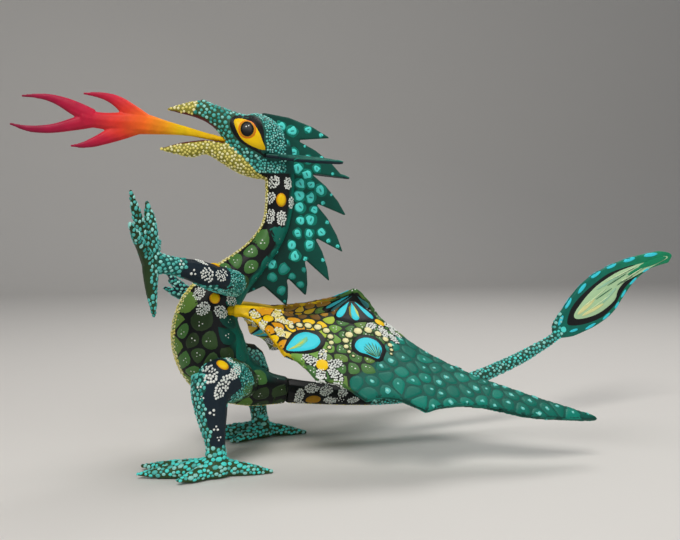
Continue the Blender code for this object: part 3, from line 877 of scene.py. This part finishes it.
def paint_crest():
    crest = Carving("crest", 0.7, 3, crest_taper)

    def colour(points, normals):
        out = steps_between(points[:, 0] + 0.2 * points[:, 2], 50, 78)
        flat = mixed(tint("teal_deep") * 0.6, tint("teal") * 0.55, out)
        # The crest's edge faces are painted darker than its flat sides: painted shade.
        return flat * np.where(np.abs(normals[:, 1:2]) < 0.6, 0.8, 1.0)

    crest.colour(colour)
    patches = Patches(crest)
    rng = np.random.default_rng(21)

    def roomy(point, side, radius):
        for a, b in ellipse(radius, radius, count=8):
            start = Vector((point[0] + a, side * 20, point[2] + b))
            place, _, _, _ = crest.tree.ray_cast(start, Vector((0, -side, 0)))
            if place is None or abs(place.y - point[1]) > 1.0:
                return False
        return True

    for side in (NEAR, FAR):
        def flat_side(points, normals, side=side):
            return normals[:, 1] * side > 0.9

        points, normals, _ = crest.scatter(6.9, flat_side, 23 + side)
        for point, normal in zip(points, normals):
            size = rng.uniform(2.5, 3.7)
            while size > 0.8 and not roomy(point, side, size * 1.2):
                size *= 0.85
            if size > 0.8:
                main = "turquoise_deep" if point[2] < 118 else "cyan_soft"
                swirl(patches, point, normal, size, rng, main)
    patches.build("crest_dabs")


# ---------------------------------------------------------------- ears

def paint_ear(node, side):
    ear = Carving(node, 0.5, 2)

    def colour(points, normals):
        along = steps_between(points[:, 0], 20, 58)
        upper = mixed(tint("teal_deep"), tint("teal"), along)
        lower = np.tile(tint("navy"), (len(points), 1))
        up = steps_between(normals[:, 2], -0.1, 0.25)
        return mixed(lower, upper, up)

    ear.colour(colour)
    patches = Patches(ear)
    rng = np.random.default_rng(31)

    def top(points, normals):
        return (normals[:, 2] > 0.45) & (points[:, 0] > 26)

    points, normals, _ = ear.scatter(6.0, top, 33)
    for point, normal in zip(points, normals):
        streak = ellipse(rng.uniform(2.5, 4), 0.35, rng.uniform(-8, 8) + (14 if side == FAR else -22))
        shade = ("teal_light", "turquoise_shade", "teal_light")[int(rng.integers(3))]
        patches.add(point, streak, 1, shade, up=(0, 1, 0), aim=-Vector(normal))
    patches.build(node + "_strokes")


# ---------------------------------------------------------------- arms and legs

def paint_limb(node, voxel, zones, groups, seed):
    """A limb painted by zones: rules for its ground, its dots and the flower on its dark patch."""
    limb = Carving(node, voxel, 2)
    limb.colour(zones["ground"])
    dots, patches = Dots(limb), Patches(limb)
    rng = np.random.default_rng(seed)
    for number, (keep, gap, shades, fill, longer, heading) in enumerate(zones["dots"]):
        dots_on(limb, dots, gap, keep, seed + number, shades, fill, longer, heading)
    if "scales" in zones:
        cells_on(limb, patches, dots, 7.2, zones["scales"], seed + 9,
                 lambda point, rng: ("green" if rng.random() < 0.6 else "olive", 0.66))
    for centre, length, width, turn, size, aim in groups["petals"]:
        petal(dots, centre, aim, length, width, turn, size, rng)
    for centre, radius in groups["threes"]:
        place, out = limb.nearest(centre)
        three_dots(dots, place, out, radius, radius * 1.7, rng)
    for centre, width, height, turn, aim in groups["yellow"]:
        outline = ellipse(width, height, turn)
        patches.add(centre, outline, 2, "amber", aim=aim, crown=0.35)
        inner = [(a * 0.84, b * 0.84) for a, b in outline]
        patches.add(centre, inner, 5, "yellow", aim=aim, crown=0.4)
    dots.build(node + "_dots")
    patches.build(node + "_petals")


SEA = ("turquoise", "turquoise", "turquoise_pale", "turquoise_deep")
SEA_BRIGHT = ("cyan_soft", "turquoise", "turquoise_pale", "cyan_soft")
SEA_SHADE = ("turquoise", "turquoise_deep", "turquoise_pale")


def leg_zones(shift, side):
    """Zones of a leg: dots in front, a dark field with a flower, mottling, then body scales."""

    def across(points):
        return points[:, 0] - shift

    def front_line(points):
        return np.interp(points[:, 2], [17, 22, 30, 40, 52, 66], [-27, -28, -31, -31.5, -32, -30])

    def dark_line(points):
        return np.interp(points[:, 2], [36, 39, 44, 48, 54, 60, 66],
                         [30, -18, -15, -10.5, -10.5, -15, -19])

    def rear_line(points):
        return np.interp(points[:, 2], [32, 38, 43.6, 48.2, 54, 60.2, 64],
                         [30, -12, -4.9, -0.3, -1, -5.2, -14])

    def dark(points):
        x, y, z = across(points) + wobble(points, 1.6), points[:, 1] * side, points[:, 2]
        outer = y > np.interp(z, [20, 40, 60], [41, 33, 26]) + (0 if side == NEAR else -11)
        return (x > front_line(points)) & (x < dark_line(points)) & (z > 17.5) & outer

    def scaly(points):
        return (across(points) > rear_line(points)) & (points[:, 2] > 34)

    def ground(points, normals):
        z = points[:, 2]
        colour = mixed(tint("olive_dark") * 1.5, tint("turquoise_shade") * 0.4, steps_between(z, 4, 60))
        colour[dark(points)] = tint("navy")
        colour[scaly(points)] = tint("black")
        colour[(z < 2.2) & (normals[:, 2] < 0.3)] = tint("olive")
        return colour

    def skin(points):
        return ~dark(points) & ~scaly(points)

    def front_edge(points, normals):
        return skin(points) & (points[:, 2] > 15) & (across(points) < -21)

    def rear_edge(points, normals):
        return skin(points) & (points[:, 2] > 15) & (across(points) >= -21)

    def foot(points, normals):
        return (points[:, 2] <= 15) & (points[:, 2] > 1.2) & (normals[:, 2] > -0.4)

    return {"ground": ground, "scales": lambda points, normals: scaly(points),
            "dots": [(front_edge, 2.2, SEA, 0.93, 1.35, (0.2, 0, 1)),
                     (rear_edge, 1.3, SEA_SHADE, 0.9, 1.4, (0.2, 0, 1)),
                     (foot, lambda p: np.where(p[:, 2] > 6, 2.5, 1.9), SEA_BRIGHT, 1.0, 1.5,
                      (1, 0.1, 0.1))]}


def leg_groups(shift, side):
    def move(x, y, z):
        return (x + shift[0], side * (y + shift[1]), z + shift[2])

    out = (0.12, -side, -0.1)
    flip = 1 if side == NEAR else -1
    petals = [(move(-27.6, 43.5, 57.6), 9.5, 7.4, 70 * flip, 1.35, out),
              (move(-13.2, 40.6, 58.4), 9, 5.4, 62 * flip, 0.9, out),
              (move(-21.6, 46.9, 51.5), 15, 6.2, 62 * flip, 1.15, out),
              (move(-30.5, 40, 65), 5.5, 2.6, -15 * flip, 1.15, (0, -side * 0.8, -0.6)),
              (move(-15.3, 34.7, 64.4), 6, 2.6, -35 * flip, 0.9, (0, -side * 0.8, -0.6))]
    threes = [(move(-27.6, 49.6, 37.6), 0.85), (move(-25.7, 49.3, 28.4), 0.72),
              (move(-24, 49, 22.6), 0.6), (move(-33, 47, 46), 0.6), (move(-34, 45, 51), 0.7)]
    yellow = [(move(-20.5, 39.5, 62.3), 4.1, 2.5, -38 * flip, (0.1, -side, -0.3))]
    return {"petals": petals, "threes": threes, "yellow": yellow}


def arm_left_zones():
    def dark(points):
        x, y, z = points.T
        bend = wobble(points, 2.2)
        return ((x + bend > -43) & (x + bend < -14.5) & (z + bend * 0.6 > 108.5 - 0.2 * (x + 30))
                & (y < np.interp(x, [-40, -18], [-36, -16])))

    def ground(points, normals):
        colour = np.tile(tint("turquoise_shade") * 0.5, (len(points), 1))
        colour = mixed(colour, tint("olive") * 0.6, steps_between(-points[:, 0], 54, 60))
        colour[dark(points)] = tint("navy")
        return colour

    def forearm(points, normals):
        return ~dark(points) & (points[:, 0] > -56) & (points[:, 0] < -21)

    def shoulder(points, normals):
        return ~dark(points) & (points[:, 0] >= -21) & (points[:, 1] < -8)

    def hand(points, normals):
        palm = (normals @ np.array([-0.78, -0.6, 0]) > 0.45) & (np.abs(points[:, 2] - 117) < 15)
        return (points[:, 0] <= -56) & ~palm

    return {"ground": ground,
            "dots": [(forearm, 2.2, SEA, 0.92, 1.3, (1, 0.3, 0.1)),
                     (shoulder, 1.25, SEA_SHADE, 0.9, 1.4, (1, 0, 0.3)),
                     (hand, 2.0, SEA, 0.9, 1.6, (0.1, 0.1, 1))]}


ARM_LEFT_GROUPS = {
    "petals": [((-31.8, -38, 120.6), 6.5, 3, -12, 0.95, (0.1, 0.75, -0.75)),
               ((-28.8, -40, 114.6), 8, 6.2, 80, 1.0, (0.25, 1, -0.2)),
               ((-19.5, -33, 113.8), 7, 5.8, 70, 0.9, (0.25, 1, -0.2))],
    "threes": [((-38, -44, 116.6), 0.85), ((-45.5, -47, 120.5), 0.8)],
    "yellow": [((-23.5, -30, 119.6), 3.3, 1.8, -25, (0, 0.55, -0.85))]}


def arm_right_zones():
    def dark(points):
        return (points[:, 1] > 12) & (points[:, 1] < 27) & (points[:, 2] > 101)

    def ground(points, normals):
        colour = np.tile(tint("turquoise_shade") * 0.5, (len(points), 1))
        colour[dark(points)] = tint("navy")
        return colour

    def skin(points, normals):
        return (points[:, 1] > 9) & ~(dark(points) & (points[:, 0] > -20))

    return {"ground": ground, "dots": [(skin, 2.0, SEA, 0.92, 1.5, (1, 0.2, 0.2))]}


ARM_RIGHT_GROUPS = {
    "petals": [((-11, 19, 113), 6.5, 4.6, 20, 0.95, (0, -0.4, -1)),
               ((-6, 25, 110), 7, 5, 80, 0.95, (-0.3, -1, -0.3)),
               ((-14, 27, 107), 6, 4.6, 0, 0.95, (0.1, -1, -0.5))],
    "threes": [((-17, 24, 106), 0.7)],
    "yellow": [((-8, 23, 112.5), 2.6, 2, 20, (0, -0.7, -0.8))]}


def paint_limbs():
    paint_limb("leg_left", 0.8, leg_zones(0, NEAR), leg_groups((0, 0, 0), NEAR), 41)
    paint_limb("leg_right", 0.8, leg_zones(33.5, FAR), leg_groups((33.5, -9.5, -2), FAR), 51)
    paint_limb("arm_left", 0.6, arm_left_zones(), ARM_LEFT_GROUPS, 61)
    paint_limb("arm_right", 0.6, arm_right_zones(), ARM_RIGHT_GROUPS, 71)


# ---------------------------------------------------------------- wings

# Motifs of the left wing, seen from above; the other surfaces repeat them.
OCELLUS_IN = closed_curve([(12.9, -53.8), (19.1, -44.7), (24.9, -39.6), (30.9, -37.8), (35.9, -40.2),
                           (37, -45), (33.5, -48.7), (27.5, -51), (20.2, -52.9)])
OCELLUS_IN_RIM = closed_curve([(11.6, -54.6), (17, -44), (23.6, -37.6), (31, -35.4), (38.3, -37.4),
                               (40.4, -44.4), (36.4, -50), (28, -52.8), (19.6, -54.2)])
OCELLUS_OUT = closed_curve([(55.8, -49.8), (59.7, -45.7), (65.7, -44.6), (71.5, -46.8), (73.2, -51.5),
                            (70.8, -55.9), (67.8, -58.9), (62.4, -56.1), (57.5, -54.1)])
OCELLUS_OUT_RIM = closed_curve([(53.4, -50), (57.6, -43.9), (65.8, -42.3), (73.8, -44.6), (76, -51.6),
                                (72.4, -57.6), (68.2, -60.8), (61, -57.6), (55, -55.6)])
PALMETTE = closed_curve([(60, -16.6), (64.6, -14.6), (70, -16.6), (79.6, -23.6), (78, -30), (71, -33.2),
                         (60.6, -34.6), (52, -31.4), (49.6, -27.6), (54.6, -21)])
PALMETTE_PETALS = [((63.4, -17.4), (52.2, -28.4), 5.6), ((64.6, -18), (63.2, -32.8), 6.4),
                   ((67, -17.2), (75.8, -28.8), 5.6)]
# The right wing's underside has a palmette of its own, in its own plan; its petals are cyan darkened as
# painted shade.
FAR_PALMETTE = closed_curve([(62.5, 34), (69.6, 23), (76.6, 15.6), (82, 14.8), (92.6, 20.6), (92, 24.4),
                             (84, 22.6), (78, 23.6), (70, 32)])
FAR_PETALS = [((77.2, 16.8), (65.6, 32.2), 4.2), ((80.6, 16.4), (91, 22), 3.6)]
# Middle and radius of each flower, then the middle, length and width of its petals.
WING_FLOWERS = [
    ((8.4, -29.3), 3.4, [((1.2, -25.5), 7, 4.4), ((4.2, -33), 8.5, 4.6), ((14.4, -24.6), 8, 4.6),
                         ((18.3, -31.6), 10, 5), ((13, -41), 8, 4.6)]),
    ((33.4, -59.3), 3.9, [((27.6, -56.6), 9.5, 5.4), ((35.2, -53.9), 8, 4.2), ((41, -59.4), 9.5, 4.6),
                          ((31.2, -65), 8, 5.6), ((39.6, -65.6), 10, 5.4)]),
    ((79.3, -30.4), 3.3, [((71.6, -35.6), 8.5, 4.2), ((79, -37.9), 9.5, 5.2), ((87, -29.4), 10, 4.8),
                          ((88, -35.2), 8, 4.2), ((84.4, -42), 7, 4.6)])]
FLOWER_ROOM = 3.4                    # scales keep this far from the middles of flowers and petals
# Middle and radius of the pale spots round the two eye spots.
SPOTS = [(21, -35.6, 1.9), (26.6, -33, 2.3), (32.2, -32.6, 2.6), (37.8, -34.4, 2.6), (42.3, -37.6, 2.4),
         (43.5, -42.3, 2.1), (42.8, -46.4, 1.7), (40.7, -49.4, 1.3), (37.9, -51.6, 1.1), (34.9, -53, 0.9),
         (53.3, -56.2, 0.9), (51.6, -53.4, 1.2), (50.9, -49.9, 1.7), (51.9, -45.9, 2.2), (55.3, -42.2, 2.7),
         (61.6, -40.2, 3.0), (68.4, -39.6, 2.8), (74.4, -41, 2.5), (78, -44.2, 2.2), (79.4, -48.2, 1.7),
         (79, -51.6, 1.2), (77.6, -54.6, 0.9)]


def wing_sweep(x, y):
    """How far the right wing's leading side is swept back from the left wing's."""
    depth = np.clip((62 + y) / 50, 0, 1)
    return 15 * np.sin(np.pi * np.clip(x / 105, 0, 1)) ** 2 * depth ** 1.4


def paint_wing(node, side):
    wing = Carving(node, 0.8, 3)
    sweep = (lambda x, y: 0 * x) if side == NEAR else wing_sweep

    def plan(points):
        """Plan coordinates in which both wings match the left one."""
        x, y = points[:, 0], points[:, 1] * -side
        return x - sweep(x, y), y

    def spot(x, y):
        """Where a place on the left wing's plan lies on this wing."""
        return x + float(sweep(np.float64(x), np.float64(y))), y * -side

    def shade_value(points):
        x, y = plan(points)
        away = np.abs(y)
        return x + 0.4 * away + 2.2 * np.maximum(0, away - 48)

    def painted_shade_strip(points):
        """The strip along the leading edge, its yellow scales painted dull ochre: painted shade."""
        x, y = plan(points)
        return (x > 5) & (x < 56) & (y > np.interp(x, [0, 11, 28, 45, 56], [-22.3, -22.9, -24.4, -26.8, -21]))

    def teal_value(points):
        """How far a point lies beyond the border of the teal outer wing."""
        x, y = plan(points)
        border = np.interp(np.abs(y), [14, 37.6, 53.9, 59.5, 63.4, 67.5, 69.7, 90],
                           [108, 89.3, 75, 67.4, 60.4, 52.6, 48.8, 44])
        return x - border

    def bone(points):
        x, y = plan(points)
        return (x < 2) | ((y > -24.5) & (x < 22) & (y > -24.5 + 0.1 * x))

    def colour(points, normals):
        value = teal_value(points)
        base = np.tile(mixed(tint("black"), tint("olive"), 0.1), (len(points), 1))
        base = np.where(bone(points)[:, None], tint("yellow"), base)
        # The wing's edge faces are painted darker than its top and underside: painted shade.
        rim = np.abs(normals[:, 2]) < 0.62
        edge = ramp(shade_value(points), [(52, "yellow"), (56, "lime"), (64, "green")])
        base = np.where(rim[:, None], edge * 0.75, base)
        teal = np.tile(mixed(tint("teal_deep"), tint("teal"), 0.3), (len(points), 1))
        teal = np.where(rim[:, None], tint("teal_deep") * 0.9, teal)
        return mixed(base, teal, steps_between(value, -3, 1))

    wing.colour(colour)

    def cell_shade(point, rng):
        value, teal = float(shade_value(point[None])[0]), float(teal_value(point[None])[0])
        if teal > 0:
            return ("teal_light" if rng.random() < 0.4 else "teal"), 0
        # Leading-edge strip: ochre scales in place of yellow ones, as painted shade.
        if painted_shade_strip(point[None])[0]:
            return ("ochre" if rng.random() < 0.7 else "ochre_dark"), 0.4
        if value < 54:
            return ("yellow_pale", "yellow", "yellow", "yellow", "amber")[int(rng.integers(5))], 0.4
        if value < 60:
            return ("yellow" if rng.random() < 0.3 else "lime"), 0.55
        if value < 66:
            return "green_light", 0.62
        return ("green" if rng.random() < 0.7 else "olive_light"), 0.68

    def clear_of_motifs(points):
        x, y = plan(points)
        clear = ~inside(PALMETTE, x, y) & ~inside(OCELLUS_IN_RIM, x, y) & ~inside(OCELLUS_OUT_RIM, x, y)
        for middle, _, petals in WING_FLOWERS:
            for px, py in [middle] + [centre for centre, _, _ in petals]:
                clear &= (x - px) ** 2 + (y - py) ** 2 > FLOWER_ROOM ** 2
        return clear

    def scale_gap(points):
        wide = 7.6 + 1.6 * np.sin(0.31 * points[:, 0] + 0.5 * points[:, 1])
        return np.where(teal_value(points) > 0, wide, 6.2)

    for face, tag in ((1, "top"), (-1, "under")):
        aim = Vector((0, 0, -face))
        patches, dots = Patches(wing), Dots(wing)
        rng = np.random.default_rng(81 + face)

        def find(x, y, aim=aim, face=face):
            """The surface over a place in this wing's own plan, with its normal."""
            place, _, index, _ = wing.tree.ray_cast(Vector((x, y, 60 + 60 * face)), aim)
            return (None, None) if place is None else (place, wing.smooth_normal(index, place))

        def lay_here(middle, placed, coats, shade, crown=0.0, aim=aim, face=face, patches=patches):
            """Lays an outline given in this wing's own plan, held by its middle."""
            place, _ = find(*middle)
            if place is not None:
                outline = counter_clockwise([((x - middle[0]) * face, y - middle[1]) for x, y in placed])
                patches.add(place, outline, coats, shade, up=(0, 1, 0), aim=aim, crown=crown)

        def lay(points, coats, shade, crown=0.0):
            """Lays an outline given on the left wing's plan."""
            lay_here(spot(*middle_of(points)), [spot(*p) for p in points], coats, shade, crown)

        def scaly(points, normals, face=face):
            return ((normals[:, 2] * face > 0.6) & ~bone(points)
                    & ((teal_value(points) >= 0) | clear_of_motifs(points)))

        for point, normal in cells_on(wing, patches, dots, scale_gap, scaly, 84 + face, cell_shade, 0.85):
            if teal_value(point[None])[0] > 0 and rng.random() < 0.8:
                size = rng.uniform(0.9, 1.9)
                patches.add(point, blob(rng, size, 7, 0.4), 3, "turquoise", aim=-Vector(normal))
                patches.add(point, blob(rng, size * 0.5, 6, 0.3), 4.4, "turquoise_pale", aim=-Vector(normal))

        lay(OCELLUS_IN_RIM, 3.2, "black")
        lay(OCELLUS_IN, 4.4, "cyan")
        lay([(14.4, -53.4), (19, -50), (25, -44.4), (29.5, -41.4), (29, -44.6),
             (23, -49.8)], 5.4, "seafoam")
        lay([(14.2, -53.6), (19, -51.4), (25.5, -46.6), (27.6, -43.8), (22.4, -47.6)], 6.2, "lime_pale")
        lay(OCELLUS_OUT_RIM, 3.2, "black")
        lay(OCELLUS_OUT, 4.4, "cyan")
        lay([(68, -58.6), (62.6, -55), (60.6, -52), (64.4, -49.6), (68.6, -50.4), (70.6, -54)],
            5.2, "cyan_misty")
        for turn in range(-4, 5):
            angle = math.radians(104 - turn * 11)
            length = 10.4 - 0.3 * turn * turn
            tip = (67.6 + 0.35 * turn, -58.2 + 0.05 * turn * turn)
            middle = (tip[0] + length / 2 * math.cos(angle), tip[1] + length / 2 * math.sin(angle))
            ray = ellipse(length / 2, 0.26, math.degrees(angle), 10)
            lay(moved(ray, middle), 6.2, "olive_light" if turn % 2 else "teal_deep")
        lay(PALMETTE, 3.2, "black")
        for start, end, width in PALMETTE_PETALS:
            lay(petal_between(start, end, width), 4.4, "cyan")
        lay([(63.6, -20), (61.8, -26), (60.9, -31), (60.2, -28), (61.6, -22)], 5.0, "cream_olive")
        lay([(65.2, -20), (66.4, -26), (65.8, -31), (64.8, -27)], 5.4, "lime_pale")
        # Right wing's underside: a second palmette whose petals are the cyan darkened as painted shade.
        if side == FAR and face < 0:
            lay_here(middle_of(FAR_PALMETTE), FAR_PALMETTE, 5.6, "black")
            for start, end, width in FAR_PETALS:
                shape = petal_between(start, end, width)
                lay_here(middle_of(shape), shape, 6.6, "cyan_grey")

        for middle, radius, petals in WING_FLOWERS:
            pale = middle[0] < 20
            shades = ("cream_pale", "white") if pale else ("white", "white_soft")
            for centre, length, width in petals:
                turn = direction(middle, centre)
                lay(moved(ellipse(length / 2 + 0.7, width / 2 + 0.7, turn), centre), 2.2, "black")
                if pale:
                    lay(moved(ellipse(length / 2 + 0.1, width / 2 + 0.1, turn), centre), 3.2, "cream_deep")
                place, _ = find(*spot(*centre))
                if place is not None:
                    petal(dots, place, aim, length, width, turn * face * -side, 1.0, rng, shades, lift=0.42)
            lay(moved(ellipse(radius + 0.9, radius * 0.85 + 0.9), middle), 3.6, "black")
            lay(moved(ellipse(radius, radius * 0.85), middle), 4.6, "yellow", crown=0.4)
        for x, y, radius in SPOTS:
            place, normal = find(*spot(x, y))
            if place is not None:
                lay(moved(ellipse(radius + 0.5, radius + 0.5), (x, y)), 2.6, "olive_dark")
                dots.add([place + normal * 0.3], [normal], [radius], ["cream_pale"])
        patches.build(f"{node}_scales_{tag}")
        dots.build(f"{node}_dots_{tag}")


# ---------------------------------------------------------------- tail

LEAF_DARK = closed_curve([(236.6, 73.6), (239.2, 83), (244.8, 90.4), (252.4, 97), (260.2, 102.8),
                          (272.9, 110.6), (285.8, 114.8), (299, 117.6), (312.9, 115.6),
                          (298.8, 107.6), (289.4, 99.6),
                          (283.8, 91.8), (280.1, 86.2), (268.1, 77), (252.4, 72.2), (241, 71.4)])
LEAF_PALE = closed_curve([(242, 77.6), (243, 81.4), (247, 86.6), (254, 94.2), (263.4, 102), (274.5, 108.4),
                          (284.1, 112.9), (295.5, 116.4), (309, 119.4), (325.5, 123.8), (328.6, 122),
                          (312.9, 117), (300.5, 112), (289, 104.5), (282.3, 97.4), (279.4, 89.8),
                          (268.1, 81.6), (257.1, 77.4),
                          (246, 75.8)])
# Middle, length and turn of each dash on the rim of the leaf.
UPPER_DASHES = [((232.3, 76.3), 9, 62), ((238.9, 89), 10.5, 58), ((248.9, 101.2), 11, 46),
                ((262.8, 109.9), 11, 33), ((276.4, 116), 10, 22), ((292.4, 120.6), 12, 15),
                ((312, 124.2), 14, 8)]
LOWER_DASHES = [((243.6, 68.6), 8, 14), ((258.2, 71.2), 11, 25), ((272.2, 78.3), 9, 38),
                ((281.6, 86.4), 7, 55),
                ((287.4, 95), 8, 55), ((296, 104.4), 9, 40), ((308, 113), 9, 28)]

# Middle, length, width and turn of each petal on the tail's root.
ROOT_PETALS = [((33, 34.6), 9, 6, 70), ((34.5, 28.6), 6, 3, 10), ((42, 38.6), 10, 5, 0),
               ((51.6, 36.6), 9, 5.6, 15), ((54, 30), 9, 4.4, -8), ((63, 34.6), 7, 5, 20),
               ((70, 29), 8, 4, 0)]


def paint_tail():
    tail = Carving("tail", 0.7, 2)
    stem_start, leaf_start = 84, 233

    def colour(points, normals):
        x = points[:, 0]
        base = np.tile(tint("black"), (len(points), 1))
        stem = mixed(tint("olive_dark"), tint("turquoise_shade") * 0.6, 0.5)
        base = mixed(base, stem, steps_between(x, stem_start - 4, stem_start + 3))
        leaf = mixed(tint("teal"), tint("leaf_tip"), steps_between(x, 260, 320))
        base = mixed(base, leaf, steps_between(x, leaf_start - 6, leaf_start - 2))
        belly = (normals[:, 2] < -0.93) & (x < stem_start) & (x > 25)
        base[belly] = tint("cream_olive")
        return base

    tail.colour(colour)
    dots, patches = Dots(tail), Patches(tail)
    rng = np.random.default_rng(95)

    def stem(points, normals):
        return (points[:, 0] > stem_start) & (points[:, 0] < leaf_start)

    def underline(points, normals):
        return (normals[:, 2] < -0.93) & (points[:, 0] < stem_start) & (points[:, 0] > 27)

    dots_on(tail, dots, lambda p: np.interp(p[:, 0], [80, 235], [1.85, 2.4]), stem, 96,
            ("turquoise", "cyan_soft", "turquoise_pale", "turquoise"), 0.94, 1.15, (1, 0, 0.2))
    dots_on(tail, dots, 1.7, underline, 97, ("cream", "cream_pale"))

    for side in (NEAR, FAR):
        aim = (0, -side, 0)
        side_petals(tail, dots, ROOT_PETALS, side, 0.9, rng)
        place, normal = tail.from_side(42.6, 31.2, side)
        patches.add(place, ellipse(5.2, 3.1), 2, "ochre", aim=-normal, crown=0.4)
        for x, z in ((60, 30.5), (73, 34), (78, 31)):
            place, normal = tail.from_side(x, z, side)
            three_dots(dots, place, normal, 0.6, 1.2, rng)
            three_dots(dots, place + Vector((2.6, 0, -1.2)), normal, 0.45, 1.0, rng)

        def lay(points, coats, shade, aim=aim, side=side):
            middle = middle_of(points)
            place, _ = tail.from_side(*middle, side)
            outline = flipped([(x - middle[0], z - middle[1]) for x, z in points], side)
            patches.add(place, outline, coats, shade, aim=aim)

        lay(LEAF_DARK, 1.2, "black")
        lay(LEAF_PALE, 2.6, "leaf_pale")
        strokes = [("leaf_root", 246, 80, 262, 92, 3.4), ("leaf_root", 250, 79, 270, 88, 2.6),
                   ("leaf_mid", 262, 98, 284, 109, 1.8), ("leaf_mid", 268, 88, 281, 100, 2.2),
                   ("leaf_tip", 300, 114.6, 327, 122.6, 4.6), ("leaf_tip", 290, 109, 312, 118.6, 2.6),
                   ("leaf_line", 262, 91, 277, 99.5, 0.6), ("leaf_line", 272, 101, 290, 110.5, 0.7),
                   ("leaf_line", 276, 106.5, 297, 114.6, 0.7), ("leaf_line", 281, 101.5, 296, 111, 0.5),
                   ("leaf_glint", 252, 86, 272, 100, 0.6), ("leaf_glint", 258, 84, 276, 95, 0.6),
                   ("leaf_glint", 270, 104, 300, 116.4, 0.6), ("leaf_glint", 284, 104, 304, 114.4, 0.6)]
        for level, (shade, x0, z0, x1, z1, width) in enumerate(strokes):
            start, end = (x0, z0), (x1, z1)
            stroke = ellipse(math.hypot(x1 - x0, z1 - z0) / 2, width / 2, direction(start, end))
            lay(moved(stroke, middle_of((start, end))), 3.8 + 0.25 * level, shade)
        for dashes, width in ((UPPER_DASHES, 2.9), (LOWER_DASHES, 2.1)):
            for (x, z), length, turn in dashes:
                shape = rounded(ellipse(length / 2, width / 2, turn, count=8), 1)
                lay(moved(shape, (x, z)), 2.6, "cyan")
        lay(moved(ellipse(2.2, 2.2), (234.6, 69.6)), 2.6, "cyan_soft")
    dots.build("tail_dots")
    patches.build("tail_leaf_paint")


# ---------------------------------------------------------------- flame

def paint_flame():
    flame = Carving("flame", 0.5, 3)
    stops = [(-134, "crimson_deep"), (-112, "crimson"), (-92, "scarlet"), (-76, "flame_red"),
             (-62, "flame_orange"), (-50, "amber_bright"), (-40, "yellow"), (-15, "yellow_flame")]

    def colour(points, normals):
        x, y, z = points.T
        reach = x - np.maximum(0, z - 208) * 1.1 * (x > -100)
        reach = reach - np.maximum(0, 199 - z) * 1.9 * (x > -106)
        base = ramp(reach, stops)
        # Upward faces are painted lighter and downward faces darker: painted light and shade.
        return base * (0.84 + 0.2 * steps_between(normals[:, 2], -0.6, 0.6))

    flame.colour(colour)


# ---------------------------------------------------------------- stage

def matte(name, colour, grain):
    mat = bpy.data.materials.new(name)
    tree, shader = nodes_of(mat)
    shader.inputs["Base Color"].default_value = (*colour, 1.0)
    place = add_node(tree, "TexCoord")
    noise = add_node(tree, "TexNoise", Scale=grain)
    spread = add_node(tree, "MapRange", To_Min=0.55, To_Max=0.7)
    tree.links.new(place.outputs["Object"], noise.inputs["Vector"])
    tree.links.new(noise.outputs["Fac"], spread.inputs["Value"])
    tree.links.new(spread.outputs["Result"], shader.inputs["Roughness"])
    return mat


def soft_light(name, place, target, size, watts, colour=(1, 1, 1)):
    lamp = bpy.data.lights.new(name, "AREA")
    lamp.shape = "DISK"
    lamp.size = size
    lamp.energy = watts
    lamp.color = colour
    ob = bpy.data.objects.new(name, lamp)
    ob.location = place
    ob.rotation_euler = (Vector(target) - Vector(place)).to_track_quat("-Z", "Y").to_euler()
    bpy.context.scene.collection.objects.link(ob)


def dress_stage():
    """A pale floor that curves up into a pale backdrop, and soft studio lights."""
    width, depth, rise, bend = 6.0, 2.2, 2.6, 0.6
    profile = [(-2.5, 0.0), (depth - bend, 0.0)]
    for k in range(1, 9):
        a = math.pi / 2 * k / 8
        profile.append((depth - bend + bend * math.sin(a), bend - bend * math.cos(a)))
    profile.append((depth, rise))
    verts, faces = [], []
    for y, z in profile:
        verts += [(-width, y, z), (width, y, z)]
    for k in range(len(profile) - 1):
        faces.append((2 * k, 2 * k + 1, 2 * k + 3, 2 * k + 2))
    floor = new_object("studio_floor", verts, faces, [matte("pale_paper", (0.72, 0.70, 0.67), 40.0)])
    target = (0.0, 0.0, 0.1)
    soft_light("key_light", (-0.55, -0.85, 1.25), target, 0.6, 13, (1.0, 0.97, 0.93))
    soft_light("top_light", (0.5, 0.35, 1.3), target, 0.8, 7, (1.0, 0.98, 0.96))
    soft_light("fill_light", (0.9, -1.3, 0.6), target, 1.2, 4, (0.94, 0.97, 1.0))
    world = bpy.data.worlds.new("studio")
    world.use_nodes = True
    world.node_tree.nodes["Background"].inputs["Color"].default_value = (0.9, 0.92, 0.95, 1.0)
    world.node_tree.nodes["Background"].inputs["Strength"].default_value = 0.24
    bpy.context.scene.world = world


def place_camera():
    """Level with the arm, a little to the front of the dragon's left side."""
    lens = bpy.data.cameras.new("camera")
    lens.lens = 37.06
    lens.sensor_width = 36.0
    lens.clip_start = 0.01
    camera = bpy.data.objects.new("camera", lens)
    camera.location = ((HIPS_X - 76.3) * MM, -0.4425, 0.131)
    pitch = math.radians(1.96)
    forward = Vector((0.30 * math.cos(pitch), 0.954 * math.cos(pitch), -math.sin(pitch)))
    camera.rotation_euler = forward.to_track_quat("-Z", "Y").to_euler()
    bpy.context.scene.collection.objects.link(camera)
    bpy.context.scene.camera = camera


paint_body()
paint_crest()
paint_ear("ear_left", NEAR)
paint_ear("ear_right", FAR)
paint_limbs()
paint_wing("wing_left", NEAR)
paint_wing("wing_right", FAR)
paint_tail()
paint_flame()
dress_stage()
place_camera()
bpy.context.scene.view_settings.view_transform = "Standard"
